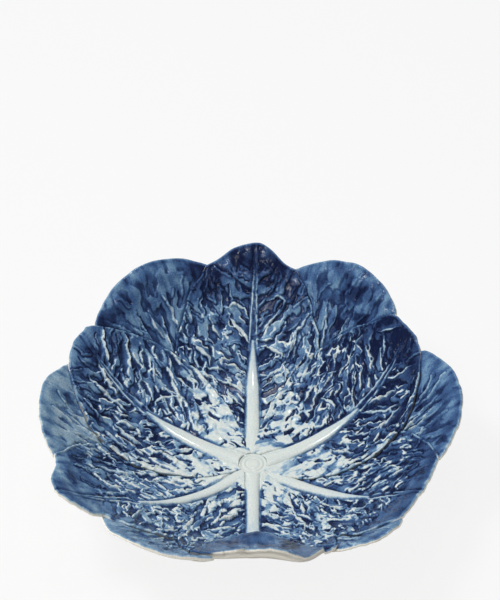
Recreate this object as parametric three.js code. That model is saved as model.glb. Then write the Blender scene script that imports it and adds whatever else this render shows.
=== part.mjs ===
// Cabbage leaf dish: a wide serving bowl of glazed earthenware, built up from pressed clay leaves.
// Six inner leaves, each with a stout rib, run from a stalk boss in the middle out to the rim. Six outer
// leaves stand behind the places where the inner leaves part. All of them are luted over a shallow base,
// and a foot ring under the base carries the dish.
// Millimetres and degrees, +Z up. The origin lies under the middle of the dish's outline, on the surface it
// stands on. Radii are measured from the stalk, and headings turn anticlockwise from +X, seen from above. The
// back leaf points to +Y.
import * as THREE from "three";

const { lerp, clamp, degToRad } = THREE.MathUtils;

// The bowl: a flat floor that sweeps up to the rim.
const FLOOR_HEIGHT = 14;
const RIM_HEIGHT = 85;
const RIM_RADIUS = 160;
const WALL_SWEEP = 2.9;

// Clay thicknesses.
const LEAF_THICKNESS = 6.2;
const LEAF_FLOOR_THICKNESS = 3.2;
const LEAF_EDGE_THICKNESS = 2.4;
const OUTER_LEAF_THICKNESS = 4.6;
const RIM_THICKNESS = 3.8;
const BASE_THICKNESS = 3.2;

// Joints between the pieces.
const JOINT_GAP = 0.4;
const BASE_EDGE_GAP = 0.9;
const LAP_GAP = 0.9;
const LAP_WIDTH = 8;
const TONGUE_WIDTH = 3;
const LEAF_TAPER_WIDTH = 14;
const PARTING_RADIUS = 111;

// The stalk boss: a flat button with a sunk ring round its middle.
const BOSS_RADIUS = 11.5;
const BOSS_HEIGHT = 2.2;
const BOSS_BUTTON_RADIUS = 8.2;
const BOSS_GROOVE_WIDTH = 1.6;
const BOSS_GROOVE_DEPTH = 0.8;

// The ribs of the inner leaves.
const RIB_ROOT_WIDTH = 11;
const RIB_TIP_WIDTH = 2.6;
const RIB_ROOT_HEIGHT = 2.4;
const RIB_TIP_HEIGHT = 0.9;
const RIB_LENGTH = 92;

// The side veins, which leave the rib and slant out to the leaf's edges, and the fold of a tip that is
// turned back over the end of its rib.
const VEIN_HEIGHT = 2;
const VEIN_WIDTH = 5;
const VEIN_SLANT = 34;
const VEIN_START = 30;
const VEIN_RIM_MARGIN = 20;
const FLOOR_VEINS = 3;
const LAP_VEINS = 1;
const LOBE_VEINS = 2;
const FOLD_HEIGHT = 2.2;
const FOLD_SLOPE_WIDTH = 6;

// The leaves' relief against each other.
const TOP_LEAF_STEP = 1;
const OUTER_LEAF_SWELL = 1.6;
const CURL_HALF_SPAN = 30;
const EDGE_SWEEP = 1.2;
const DENT_SPAN = 0.6;

// The base and the foot ring.
const BASE_RADIUS = 87.5;
const FOOT_INSET = 3;
const FOOT_WIDTH = 9;
const FOOT_SOLE_WIDTH = 5.5;
const FOOT_COVE = 1;

// Fineness of the solids.
const LAP_ROWS = 3;
const LOBE_ROWS = 6;
const BLADE_COLUMNS = 5;
const LAP_COLUMNS = 2;
const OUTER_COLUMNS = 6;
const ROUND_SEGMENTS = 60;

// A leaf's tip that stands plain. curl: how far the rim is lifted at the rib, over curlSpan degrees to each
// side. dent: how far the tip is drawn in, dentAt: where the dent lies across the blade, from -1 to 1. fold: the
// radius from which the tip is turned back over the rib, if it is.
const PLAIN_TIP = { curl: 0, curlSpan: CURL_HALF_SPAN, dent: 0, dentAt: 0, fold: null };

// The inner leaves, anticlockwise. root: where the rib leaves the stalk. heading: where it is at the parting.
// bend: how far its end leans on from there. reach: how far the tip stands past the rim radius. fullness:
// how pointed the lobe is before and after its middle, from round to bell shaped. onTop: whether the leaf
// laps over its neighbours near the stalk.
const INNER_LEAVES = [
  { ...PLAIN_TIP, name: "inner_leaf_back_right", root: 20, heading: 31, bend: 7,
    reach: -8.8, fullness: [0.55, 0.55], onTop: true },
  { ...PLAIN_TIP, name: "inner_leaf_back", root: 90, heading: 90, bend: -1,
    reach: 7.5, fullness: [2, 1.4], onTop: false },
  { ...PLAIN_TIP, name: "inner_leaf_back_left", root: 157, heading: 152, bend: -4,
    reach: -5, fullness: [0.5, 0.5], onTop: true },
  { ...PLAIN_TIP, name: "inner_leaf_front_left", root: 228, heading: 212, bend: 1,
    reach: 5.5, fullness: [1.6, 0.4], onTop: false, curl: -7 },
  { ...PLAIN_TIP, name: "inner_leaf_front", root: 270, heading: 270, bend: 2,
    reach: -2, fullness: [1.2, 1.2], onTop: true, curl: 15, curlSpan: 20, dent: 10, dentAt: -0.2, fold: 84 },
  { ...PLAIN_TIP, name: "inner_leaf_front_right", root: 325, heading: 330, bend: -4,
    reach: -16.5, fullness: [0.9, 0.9], onTop: false, curl: 8 },
];

// The seams between one inner leaf and the next, anticlockwise from the back right leaf. The seam runs from
// stalkHeading at the boss to partingHeading, where the two leaves part, and bow is how far it swings aside on
// the way. From there the first leaf's edge goes to firstNotch and the next leaf's edge to nextNotch, both on
// the rim, and the outer leaf shows between them. The two sinks say how far the notches lie inside the rim
// radius. reach, fullness and curl are the outer leaf's.
const SEAMS = [
  { outer: "outer_leaf_back_right", stalkHeading: 80, partingHeading: 62.5, bow: 3,
    firstNotch: 43.8, firstSink: 8.3, nextNotch: 78.5, nextSink: 3,
    reach: 5.6, fullness: [0.75, 1.5], curl: 0 },
  { outer: "outer_leaf_back_left", stalkHeading: 108, partingHeading: 122.5, bow: -4,
    firstNotch: 102.5, firstSink: 0.7, nextNotch: 143.2, nextSink: 8,
    reach: 6, fullness: [1.1, 1.1], curl: 0 },
  { outer: "outer_leaf_left", stalkHeading: 197, partingHeading: 182, bow: 4.5,
    firstNotch: 158.3, firstSink: 10.4, nextNotch: 198, nextSink: 8.5,
    reach: -1, fullness: [1.4, 0.9], curl: 2.5 },
  { outer: "outer_leaf_front_left", stalkHeading: 244, partingHeading: 241, bow: -7,
    firstNotch: 222.5, firstSink: 18, nextNotch: 261, nextSink: 9,
    reach: 5.5, fullness: [1, 1], curl: -4 },
  { outer: "outer_leaf_front_right", stalkHeading: 306, partingHeading: 301, bow: 5,
    firstNotch: 296, firstSink: 24, nextNotch: 315, nextSink: 11.5,
    reach: -4, fullness: [1.1, 1.1], curl: -5 },
  { outer: "outer_leaf_right", stalkHeading: 344, partingHeading: 366, bow: -12,
    firstNotch: 344, firstSink: 18.5, nextNotch: 390, nextSink: 12.5,
    reach: -2.5, fullness: [1.15, 1.15], curl: -3.5 },
];

// Where the rim's curls stand: on each inner leaf's rib and on each outer leaf.
const CURLS = [
  ...INNER_LEAVES.map(({ heading, curl, curlSpan }) => ({ heading, curl, span: curlSpan })),
  ...SEAMS.map(({ partingHeading, curl }) => ({ heading: partingHeading, curl, span: CURL_HALF_SPAN })),
];

const GLAZE_BLUE = new THREE.MeshStandardMaterial({ color: 0x3f5f92, roughness: 0.18, metalness: 0 });
const RIM_BLUE = new THREE.MeshStandardMaterial({ color: 0x4d74a8, roughness: 0.18, metalness: 0 });
const GLAZE_WHITE = new THREE.MeshStandardMaterial({ color: 0xd9dedb, roughness: 0.2, metalness: 0 });
const BARE_CREAM = new THREE.MeshStandardMaterial({ color: 0xd2cabb, roughness: 0.4, metalness: 0 });

// Depths below the leaves' upper face.
const BASE_TOP_DEPTH = LEAF_FLOOR_THICKNESS + JOINT_GAP;
const BASE_SOLE_DEPTH = BASE_TOP_DEPTH + BASE_THICKNESS;
const OUTER_TOP_DEPTH = LEAF_EDGE_THICKNESS + LAP_GAP;
const LEAF_START = BOSS_RADIUS + JOINT_GAP;
const BASE_SEAT_RADIUS = BASE_RADIUS + BASE_EDGE_GAP;
const LAP_START = BASE_SEAT_RADIUS + JOINT_GAP;

const seamAfter = (leafNumber) => SEAMS[leafNumber];
const seamBefore = (leafNumber) => SEAMS[(leafNumber + SEAMS.length - 1) % SEAMS.length];

// Evenly spaced numbers from first to last, both included.
function spaced(first, last, steps) {
  return Array.from({ length: steps + 1 }, (_, i) => lerp(first, last, i / steps));
}

// Difference between two headings, from -180 to 180.
function turnBetween(from, to) {
  return THREE.MathUtils.euclideanModulo(to - from + 180, 360) - 180;
}

// Height of the bowl's smooth upper face, with the rim's curls.
function bowlHeight(radius, heading = 0) {
  const sweep = FLOOR_HEIGHT + (RIM_HEIGHT - FLOOR_HEIGHT) * (radius / RIM_RADIUS) ** WALL_SWEEP;
  const climb = clamp((radius - LAP_START) / (RIM_RADIUS - LAP_START), 0, 1) ** 2;
  const lift = CURLS.reduce((sum, { heading: middle, curl, span }) => {
    const share = clamp(Math.abs(turnBetween(middle, heading)) / span, 0, 1);
    return sum + curl * Math.cos((share * Math.PI) / 2) ** 2;
  }, 0);
  return sweep + lift * climb;
}

function pointAt(radius, heading, height) {
  const angle = degToRad(heading);
  return new THREE.Vector3(radius * Math.cos(angle), radius * Math.sin(angle), height);
}

// Heading of a seam between two inner leaves, from the stalk to where they part.
function seamHeading(seam, radius) {
  const share = clamp((radius - LEAF_START) / (PARTING_RADIUS - LEAF_START), 0, 1);
  return lerp(seam.stalkHeading, seam.partingHeading, share) + seam.bow * Math.sin(Math.PI * share);
}

// Heading of an inner leaf's edge at a radius: the seam up to the parting, and then a sweep to the notch.
function edgeHeading(seam, notch, sink, radius) {
  if (radius <= PARTING_RADIUS) return seamHeading(seam, radius);
  const share = clamp((radius - PARTING_RADIUS) / (RIM_RADIUS - sink - PARTING_RADIUS), 0, 1);
  return lerp(seam.partingHeading, notch, share ** EDGE_SWEEP);
}

const firstEdge = (seam, radius) => edgeHeading(seam, seam.firstNotch, seam.firstSink, radius);
const nextEdge = (seam, radius) => edgeHeading(seam, seam.nextNotch, seam.nextSink, radius);

// Angle in degrees that a width takes up on a circle.
const turnOf = (width, radius) => THREE.MathUtils.radToDeg(width / radius);

// Thickness of an inner leaf beside the base, thin at its edge and full further in.
function leafThickness(distanceFromEdge) {
  const share = clamp(distanceFromEdge / LEAF_TAPER_WIDTH, 0, 1);
  return lerp(LEAF_EDGE_THICKNESS, LEAF_THICKNESS, share);
}

// Closed solid between an upper and a lower grid of points, rows outwards and columns anticlockwise.
function slabGeometry(upper, lower) {
  const rows = upper.length;
  const columns = upper[0].length;
  const points = [...upper.flat(), ...lower.flat()];
  const above = (row, column) => row * columns + column;
  const below = (row, column) => rows * columns + above(row, column);
  const triangles = [];
  const quad = (a, b, c, d) => triangles.push(a, b, c, a, c, d);
  for (let row = 0; row < rows - 1; row += 1) {
    for (let column = 0; column < columns - 1; column += 1) {
      quad(above(row, column), above(row + 1, column), above(row + 1, column + 1), above(row, column + 1));
      quad(below(row, column), below(row, column + 1), below(row + 1, column + 1), below(row + 1, column));
    }
    const last = columns - 1;
    quad(above(row, 0), below(row, 0), below(row + 1, 0), above(row + 1, 0));
    quad(above(row, last), above(row + 1, last), below(row + 1, last), below(row, last));
  }
  for (let column = 0; column < columns - 1; column += 1) {
    const last = rows - 1;
    quad(above(0, column), above(0, column + 1), below(0, column + 1), below(0, column));
    quad(above(last, column), below(last, column), below(last, column + 1), above(last, column + 1));
  }
  const geometry = new THREE.BufferGeometry().setFromPoints(points);
  geometry.setIndex(triangles);
  geometry.computeVertexNormals();
  return geometry;
}

function namedMesh(name, geometry, material) {
  const mesh = new THREE.Mesh(geometry, material);
  mesh.name = name;
  return mesh;
}

// Rows of a stretch of an inner leaf, as shares of its length: both ends, and for each side vein on it a foot,
// a crest and a foot. lead says how far along its part of the stretch a vein lies, from 0 to 1.
function veinRows(length, veins, lead) {
  const foot = VEIN_WIDTH / 2 / length;
  const crests = Array.from({ length: veins }, (_, i) => (i + lead) / veins);
  const rows = crests.flatMap((share) => [
    { share: share - foot, crest: false },
    { share, crest: true },
    { share: share + foot, crest: false },
  ]);
  return [{ share: 0, crest: false }, ...rows, { share: 1, crest: false }];
}

// Rows shared by the leaves and the base, so that their facets lie over each other.
const floorRows = veinRows(BASE_RADIUS - LEAF_START, FLOOR_VEINS, 0.8);
const lapRows = veinRows(PARTING_RADIUS - LAP_START, LAP_VEINS, 0.5);
const lobeRows = veinRows(RIM_RADIUS - PARTING_RADIUS, LOBE_VEINS, 0.4).slice(1);
const floorRadii = floorRows.map(({ share }) => lerp(LEAF_START, BASE_RADIUS, share));
const seatRadii = [...floorRadii.slice(0, -1), BASE_SEAT_RADIUS];
const lapRadii = spaced(LAP_START, PARTING_RADIUS, LAP_ROWS);

// Heading of a leaf's rib at a radius.
function ribHeading(leaf, radius) {
  const grown = clamp((radius - LEAF_START) / (PARTING_RADIUS - LEAF_START), 0, 1);
  const lean = clamp((radius - PARTING_RADIUS) / (RIM_RADIUS - PARTING_RADIUS), 0, 1);
  return lerp(leaf.root, leaf.heading, grown) + leaf.bend * lean;
}

// Half width and height of a rib at a radius.
function ribSize(radius) {
  const share = clamp((radius - LEAF_START) / RIB_LENGTH, 0, 1);
  return {
    halfWidth: lerp(RIB_ROOT_WIDTH, RIB_TIP_WIDTH, share) / 2,
    height: lerp(RIB_ROOT_HEIGHT, RIB_TIP_HEIGHT, share),
  };
}

// Rounded outline of a lobe across its width, from -1 to 1: two notches and a swelling between them.
function lobeRadius(across, notchBefore, notchAfter, tip, fullness) {
  const chord = lerp(notchBefore, notchAfter, (across + 1) / 2);
  const swell = tip - (notchBefore + notchAfter) / 2;
  const [before, after] = fullness;
  return chord + swell * (1 - across ** 2) ** (across < 0 ? before : after);
}

// How far a dent draws the outline of a tip in.
function tipDent(leaf, across) {
  const share = clamp(Math.abs(across - leaf.dentAt) / DENT_SPAN, 0, 1);
  return leaf.dent * Math.cos((share * Math.PI) / 2) ** 2;
}

// Shares of an inner leaf's width at its columns: blade, rib, blade. Each knows how far up the rib it lies.
const innerColumns = [
  ...spaced(-1, 0, BLADE_COLUMNS).map((share) => ({ blade: share, rib: -1, crest: 0 })),
  { blade: 0, rib: -0.5, crest: 0.75 },
  { blade: 0, rib: 0, crest: 1 },
  { blade: 0, rib: 0.5, crest: 0.75 },
  ...spaced(0, 1, BLADE_COLUMNS).map((share) => ({ blade: share, rib: 1, crest: 0 })),
];

// How far a row of an inner leaf's upper face lies further in at the rib than at the edges, so that the rows
// run along the side veins.
function veinSlant(radius) {
  return VEIN_SLANT * Math.sin(Math.PI * clamp((radius - LEAF_START) / (RIM_RADIUS - LEAF_START), 0, 1));
}

// Height of a side vein: it fades out towards the stalk, the rim and the leaf's edge.
function veinHeight(radius, toRim, blade) {
  const grown = clamp((radius - LEAF_START) / (VEIN_START - LEAF_START), 0, 1);
  const kept = clamp(toRim / VEIN_RIM_MARGIN, 0, 1);
  return VEIN_HEIGHT * grown * kept * (1 - blade ** 2);
}

// Rise of a folded tip above the blade.
function foldHeight(leaf, radius) {
  if (leaf.fold === null) return 0;
  return FOLD_HEIGHT * THREE.MathUtils.smoothstep(radius, leaf.fold, leaf.fold + FOLD_SLOPE_WIDTH);
}

function innerLeaf(leaf, number) {
  const before = seamBefore(number);
  const after = seamAfter(number);
  const wrap = number === 0 ? 360 : 0;
  const notchBefore = RIM_RADIUS - before.nextSink;
  const notchAfter = RIM_RADIUS - after.firstSink;
  const step = leaf.onTop ? TOP_LEAF_STEP : 0;
  const tip = RIM_RADIUS + leaf.reach;
  const rimRadius = (blade) =>
    lobeRadius(blade, notchBefore, notchAfter, tip, leaf.fullness) - tipDent(leaf, blade);
  const upper = [];
  const lower = [];

  // Where a column lies at a radius, between the leaf's two edges.
  function across({ blade, rib }, radius) {
    const edgeGap = turnOf(JOINT_GAP / 2, radius);
    const low = nextEdge(before, radius) - wrap + edgeGap;
    const high = firstEdge(after, radius) - edgeGap;
    const middle = clamp(ribHeading(leaf, radius), lerp(low, high, 0.2), lerp(low, high, 0.8));
    const room = Math.min(high - middle, middle - low) * 0.4;
    const ribTurn = Math.min(turnOf(ribSize(radius).halfWidth, radius), room);
    const ribSide = middle + rib * ribTurn;
    const heading = blade < 0 ? lerp(ribSide, low, -blade) : lerp(ribSide, high, blade);
    return { heading, fromEdge: degToRad(Math.min(heading - low, high - heading)) * radius };
  }

  function addRow(radiusOf, slantRadius, vein, onBase) {
    const atRim = radiusOf === rimRadius;
    upper.push(innerColumns.map((column) => {
      const { blade, crest } = column;
      const radius = radiusOf(blade) - veinSlant(slantRadius) * (1 - Math.abs(blade));
      const { heading } = across(column, radius);
      const fold = foldHeight(leaf, radius);
      const ribHeight = crest * ribSize(radius).height;
      const relief = Math.max(ribHeight, vein ? veinHeight(radius, rimRadius(blade) - radius, blade) : 0);
      const face = bowlHeight(radius, heading) + step;
      return pointAt(radius, heading, face + Math.max(relief * (1 - fold / FOLD_HEIGHT), fold));
    }));
    lower.push(innerColumns.map((column) => {
      const radius = radiusOf(column.blade);
      const { heading, fromEdge } = across(column, radius);
      const thickness = onBase ? LEAF_FLOOR_THICKNESS : leafThickness(fromEdge);
      const depth = atRim ? Math.min(thickness, RIM_THICKNESS) : thickness;
      return pointAt(radius, heading, bowlHeight(radius, heading) - depth);
    }));
  }

  seatRadii.forEach((radius, row) => addRow(() => radius, radius, floorRows[row].crest, true));
  lapRows.forEach(({ share, crest }) => {
    const radius = lerp(LAP_START, PARTING_RADIUS, share);
    addRow(() => radius, radius, crest, false);
  });
  lobeRows.slice(0, -1).forEach(({ share, crest }) => {
    const slantRadius = lerp(PARTING_RADIUS, RIM_RADIUS, share);
    addRow((blade) => lerp(PARTING_RADIUS, rimRadius(blade), share), slantRadius, crest, false);
  });
  addRow(rimRadius, RIM_RADIUS, false, false);
  return namedMesh(leaf.name, slabGeometry(upper, lower), GLAZE_BLUE);
}

// Columns of an outer leaf: a lap under each neighbour and the blade that shows between them. Below the
// parting only a narrow tongue is left of the blade.
const outerColumns = [
  ...spaced(1, 0, LAP_COLUMNS).slice(0, -1).map((lap) => ({ share: 0, lap: -lap })),
  ...spaced(0, 1, OUTER_COLUMNS).map((share) => ({ share, lap: 0 })),
  ...spaced(0, 1, LAP_COLUMNS).slice(1).map((lap) => ({ share: 1, lap })),
];

function outerLeaf(seam) {
  const notchBefore = RIM_RADIUS - seam.firstSink - JOINT_GAP;
  const notchAfter = RIM_RADIUS - seam.nextSink - JOINT_GAP;
  const tip = RIM_RADIUS + seam.reach;
  const upper = [];
  const lower = [];

  function addRow(radiusOf) {
    const row = outerColumns.map(({ share, lap }) => {
      const radius = radiusOf(share);
      const low = firstEdge(seam, radius);
      const high = nextEdge(seam, radius);
      const middle = (low + high) / 2;
      const halfBlade = Math.max((high - low) / 2, turnOf(TONGUE_WIDTH / 2, radius));
      const heading = middle + halfBlade * (2 * share - 1) + turnOf(lap * LAP_WIDTH, radius);
      const covered = degToRad(Math.max(low - heading, heading - high, 0)) * radius;
      const face = bowlHeight(radius, heading);
      const climb = clamp((radius - PARTING_RADIUS) / (RIM_RADIUS - PARTING_RADIUS), 0, 1);
      const swell = OUTER_LEAF_SWELL * climb * Math.sin(Math.PI * share) ** 2;
      const underLap = leafThickness(covered) + LAP_GAP;
      const atRim = radiusOf === rimRadius;
      const sole = OUTER_TOP_DEPTH + (atRim ? RIM_THICKNESS : OUTER_LEAF_THICKNESS);
      return {
        top: pointAt(radius, heading, face + swell - underLap),
        bottom: pointAt(radius, heading, face + swell - Math.max(sole, underLap + 1.2)),
      };
    });
    upper.push(row.map((column) => column.top));
    lower.push(row.map((column) => column.bottom));
  }

  const rimRadius = (share) => lobeRadius(2 * share - 1, notchBefore, notchAfter, tip, seam.fullness);
  lapRadii.forEach((radius) => addRow(() => radius));
  for (let row = 1; row < LOBE_ROWS; row += 1) {
    addRow((share) => lerp(PARTING_RADIUS, rimRadius(share), row / LOBE_ROWS));
  }
  addRow(rimRadius);
  return namedMesh(seam.outer, slabGeometry(upper, lower), RIM_BLUE);
}

// Solid of revolution about +Z from a closed profile of radius and height.
function turned(name, profile, material) {
  const points = profile.map(([radius, height]) => new THREE.Vector2(radius, height));
  const geometry = new THREE.LatheGeometry(points, ROUND_SEGMENTS).rotateX(Math.PI / 2);
  return namedMesh(name, geometry, material);
}

// Shallow saucer that the inner leaves and the boss are luted on.
function base() {
  const radii = [0, ...floorRadii];
  const sole = radii.map((radius) => [radius, bowlHeight(radius) - BASE_SOLE_DEPTH]);
  const top = radii.map((radius) => [radius, bowlHeight(radius) - BASE_TOP_DEPTH]).reverse();
  return turned("base", [...sole, ...top], BARE_CREAM);
}

// Cut end of the stalk in the middle of the floor, standing on the base.
function stalkBoss() {
  const seat = FLOOR_HEIGHT - LEAF_FLOOR_THICKNESS;
  const top = FLOOR_HEIGHT + BOSS_HEIGHT;
  const shoulder = (BOSS_RADIUS - BOSS_BUTTON_RADIUS - BOSS_GROOVE_WIDTH) / 2;
  const grooveOuter = BOSS_BUTTON_RADIUS + BOSS_GROOVE_WIDTH;
  const profile = [
    [0, seat],
    [BOSS_RADIUS, seat],
    [BOSS_RADIUS, top - shoulder],
    [BOSS_RADIUS - shoulder, top],
    [grooveOuter, top],
    [lerp(BOSS_BUTTON_RADIUS, grooveOuter, 0.5), top - BOSS_GROOVE_DEPTH],
    [BOSS_BUTTON_RADIUS, top],
    [0, top],
  ];
  return turned("stalk_boss", profile, GLAZE_WHITE);
}

// Ring under the base, with a flat sole that carries the dish.
function footRing() {
  const outer = BASE_RADIUS - FOOT_INSET;
  const inner = outer - FOOT_WIDTH;
  const draft = (FOOT_WIDTH - FOOT_SOLE_WIDTH) / 2;
  const seat = (radius) => bowlHeight(radius) - BASE_SOLE_DEPTH - JOINT_GAP;
  const profile = [
    [inner + draft, 0],
    [outer - draft, 0],
    [outer - draft - FOOT_COVE / 2, seat(outer) * 0.35],
    [outer - draft / 2 - FOOT_COVE / 2, seat(outer) * 0.75],
    [outer, seat(outer)],
    [lerp(inner, outer, 0.5), seat(lerp(inner, outer, 0.5))],
    [inner, seat(inner)],
    [inner + draft, 0],
  ];
  return turned("foot_ring", profile, BARE_CREAM);
}

const dish = new THREE.Group();
dish.add(footRing(), base(), stalkBoss());
INNER_LEAVES.forEach((leaf, number) => dish.add(innerLeaf(leaf, number)));
SEAMS.forEach((seam) => dish.add(outerLeaf(seam)));

// The leaves reach further to the back than to the front, so the whole dish is set about its outline's middle.
const middle = new THREE.Box3().setFromObject(dish).getCenter(new THREE.Vector3());
dish.children.forEach((mesh) => mesh.geometry.translate(-middle.x, -middle.y, 0));

export default dish;
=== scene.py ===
"""Looks of the cabbage leaf dish: leaves under a brushed blue glaze, a stalk boss, a base and a foot.

Lengths inside the classes are millimetres and headings are degrees, anticlockwise from +X about the
stalk. Meshes are made in metres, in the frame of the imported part.
"""

import logging
import math
from dataclasses import dataclass, field
from enum import Enum
from functools import lru_cache
from typing import Any, Sequence

import bpy
import numpy as np
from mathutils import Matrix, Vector
from numpy.typing import NDArray


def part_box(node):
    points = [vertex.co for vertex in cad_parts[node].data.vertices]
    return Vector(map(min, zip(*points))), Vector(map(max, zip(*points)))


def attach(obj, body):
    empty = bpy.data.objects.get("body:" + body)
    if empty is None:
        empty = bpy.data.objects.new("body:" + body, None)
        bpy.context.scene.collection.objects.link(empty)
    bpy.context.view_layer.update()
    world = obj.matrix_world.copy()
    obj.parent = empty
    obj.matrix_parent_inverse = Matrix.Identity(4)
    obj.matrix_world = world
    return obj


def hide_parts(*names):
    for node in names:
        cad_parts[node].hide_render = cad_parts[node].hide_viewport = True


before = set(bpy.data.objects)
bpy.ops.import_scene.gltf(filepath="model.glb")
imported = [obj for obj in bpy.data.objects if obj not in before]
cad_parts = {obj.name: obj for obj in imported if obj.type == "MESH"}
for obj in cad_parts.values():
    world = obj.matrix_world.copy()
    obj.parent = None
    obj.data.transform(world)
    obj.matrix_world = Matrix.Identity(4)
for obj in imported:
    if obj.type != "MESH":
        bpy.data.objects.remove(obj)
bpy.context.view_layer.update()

Array = NDArray[np.float64]
Index = NDArray[np.int64]
Marks = dict[str, Array]
Colour = tuple[float, float, float]
# Radius, heading and size of a dark patch in the glaze
Blot = tuple[float, float, float]
MM = 0.001
TINY = 1e-9
BODY = "root"
log = logging.getLogger("cabbage_leaf_dish")


class Lap(Enum):
    """How an inner leaf lies against its neighbours near the stalk."""

    OVER = 1.0
    UNDER = 0.0


class Slot(Enum):
    """Names of the material slots."""

    BLUE = "blue_glaze"
    WHITE = "white_glaze"
    CREAM = "cream_glaze"


def mix(low: Any, high: Any, share: Any) -> Any:
    """Value at a share of the way from low to high."""
    return low + (high - low) * share


def smooth(low: Any, high: Any, value: Any) -> Array:
    """Soft step from 0 at low to 1 at high."""
    share = np.clip((value - low) / (high - low), 0.0, 1.0)
    return share * share * (3.0 - 2.0 * share)


def swell(value: Any, width: Any) -> Array:
    """Bell that is 1 at zero and falls off over the width."""
    return np.exp(-((value / width) ** 2))


def linear(red: float, green: float, blue: float) -> Colour:
    """Scene-linear colour of an 8-bit display colour."""

    def channel(value: float) -> float:
        share = value / 255.0
        return share / 12.92 if share <= 0.04045 else ((share + 0.055) / 1.055) ** 2.4

    return channel(red), channel(green), channel(blue)


@dataclass
class Grain:
    """Smooth seeded noise over a plane, from about -1 to 1.

    Args:
        seed: Start of the noise's own number series.
        size: Number of lattice cells before the noise repeats.
    """

    seed: int
    size: int = 256

    def __post_init__(self) -> None:
        """Draw the lattice's slopes."""
        turn = np.random.default_rng(self.seed).uniform(0.0, 2.0 * np.pi, (self.size, self.size))
        self.slope_x = np.cos(turn)
        self.slope_y = np.sin(turn)

    def at(self, x: Array, y: Array) -> Array:
        """Noise at points of the plane.

        Args:
            x: First coordinates, in lattice cells.
            y: Second coordinates, in lattice cells.

        Returns:
            Noise values, one for each point.
        """
        cell_x = np.floor(x).astype(int)
        cell_y = np.floor(y).astype(int)
        part_x = x - cell_x
        part_y = y - cell_y
        fade_x = part_x**3 * (part_x * (part_x * 6.0 - 15.0) + 10.0)
        fade_y = part_y**3 * (part_y * (part_y * 6.0 - 15.0) + 10.0)

        def corner(step_x: int, step_y: int) -> Array:
            row = (cell_x + step_x) % self.size
            column = (cell_y + step_y) % self.size
            rise_x = self.slope_x[row, column] * (part_x - step_x)
            return rise_x + self.slope_y[row, column] * (part_y - step_y)

        near = mix(corner(0, 0), corner(1, 0), fade_x)
        far = mix(corner(0, 1), corner(1, 1), fade_x)
        return 1.5 * mix(near, far, fade_y)


@lru_cache(maxsize=None)
def grain(seed: int) -> Grain:
    """Noise of a seed, made once."""
    return Grain(seed)


@dataclass(frozen=True)
class Bowl:
    """Smooth inside of the dish: a flat floor that sweeps up to the rim, with the rim's curls."""

    floor_height: float = 14.0
    rim_height: float = 85.0
    rim_radius: float = 160.0
    sweep: float = 2.9
    leaf_start: float = 11.9
    lap_start: float = 88.8
    parting_radius: float = 111.0
    edge_sweep: float = 1.2
    far_radius: float = 190.0
    run_steps: int = 400
    curl_limit: float = 1.2
    curls: tuple[tuple[float, float, float], ...] = (
        (212.0, -7.0, 30.0),
        (270.0, 15.0, 20.0),
        (330.0, 8.0, 30.0),
        (182.0, 2.5, 30.0),
        (241.0, -4.0, 30.0),
        (301.0, -5.0, 30.0),
        (366.0, -3.5, 30.0),
        (283.0, -4.5, 10.0),
        (295.0, 7.5, 11.0),
        (255.0, 2.0, 8.0),
    )

    def height(self, radius: Array, heading: Array) -> Array:
        """Height of the inside face.

        Args:
            radius: Distances from the stalk.
            heading: Headings about the stalk.

        Returns:
            Heights above the table.
        """
        full_rise = self.rim_height - self.floor_height
        rise = self.floor_height + full_rise * (radius / self.rim_radius) ** self.sweep
        climb = (radius - self.lap_start) / (self.rim_radius - self.lap_start)
        climb = np.clip(climb, 0.0, self.curl_limit) ** 2
        lift = np.zeros_like(rise)
        for middle, curl, span in self.curls:
            turn = np.abs((heading - middle + 180.0) % 360.0 - 180.0)
            lift = lift + curl * np.cos(np.clip(turn / span, 0.0, 1.0) * np.pi / 2.0) ** 2
        return rise + lift * climb

    def run(self, radius: Array) -> Array:
        """Length along the wall from the stalk out to a radius."""
        steps = np.linspace(0.0, self.far_radius, self.run_steps)
        slope = self.sweep * (self.rim_height - self.floor_height) / self.rim_radius
        slope = slope * (steps / self.rim_radius) ** (self.sweep - 1.0)
        pieces = np.hypot(1.0, 0.5 * (slope[1:] + slope[:-1])) * np.diff(steps)
        return np.interp(radius, steps, np.concatenate([[0.0], np.cumsum(pieces)]))

    def points(self, radius: Array, heading: Array) -> Array:
        """Points of the inside face, with the coordinates on the last axis."""
        angle = np.radians(heading)
        height = self.height(radius, heading)
        return np.stack([radius * np.cos(angle), radius * np.sin(angle), height], axis=-1)

    def normals(self, radius: Array, heading: Array) -> Array:
        """Unit normals of the inside face, pointing into the bowl."""
        step = 0.5
        outward = self.points(radius + step, heading) - self.points(radius - step, heading)
        around = self.points(radius, heading + step) - self.points(radius, heading - step)
        normal = np.cross(outward, around)
        return normal / np.linalg.norm(normal, axis=-1, keepdims=True)


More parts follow.
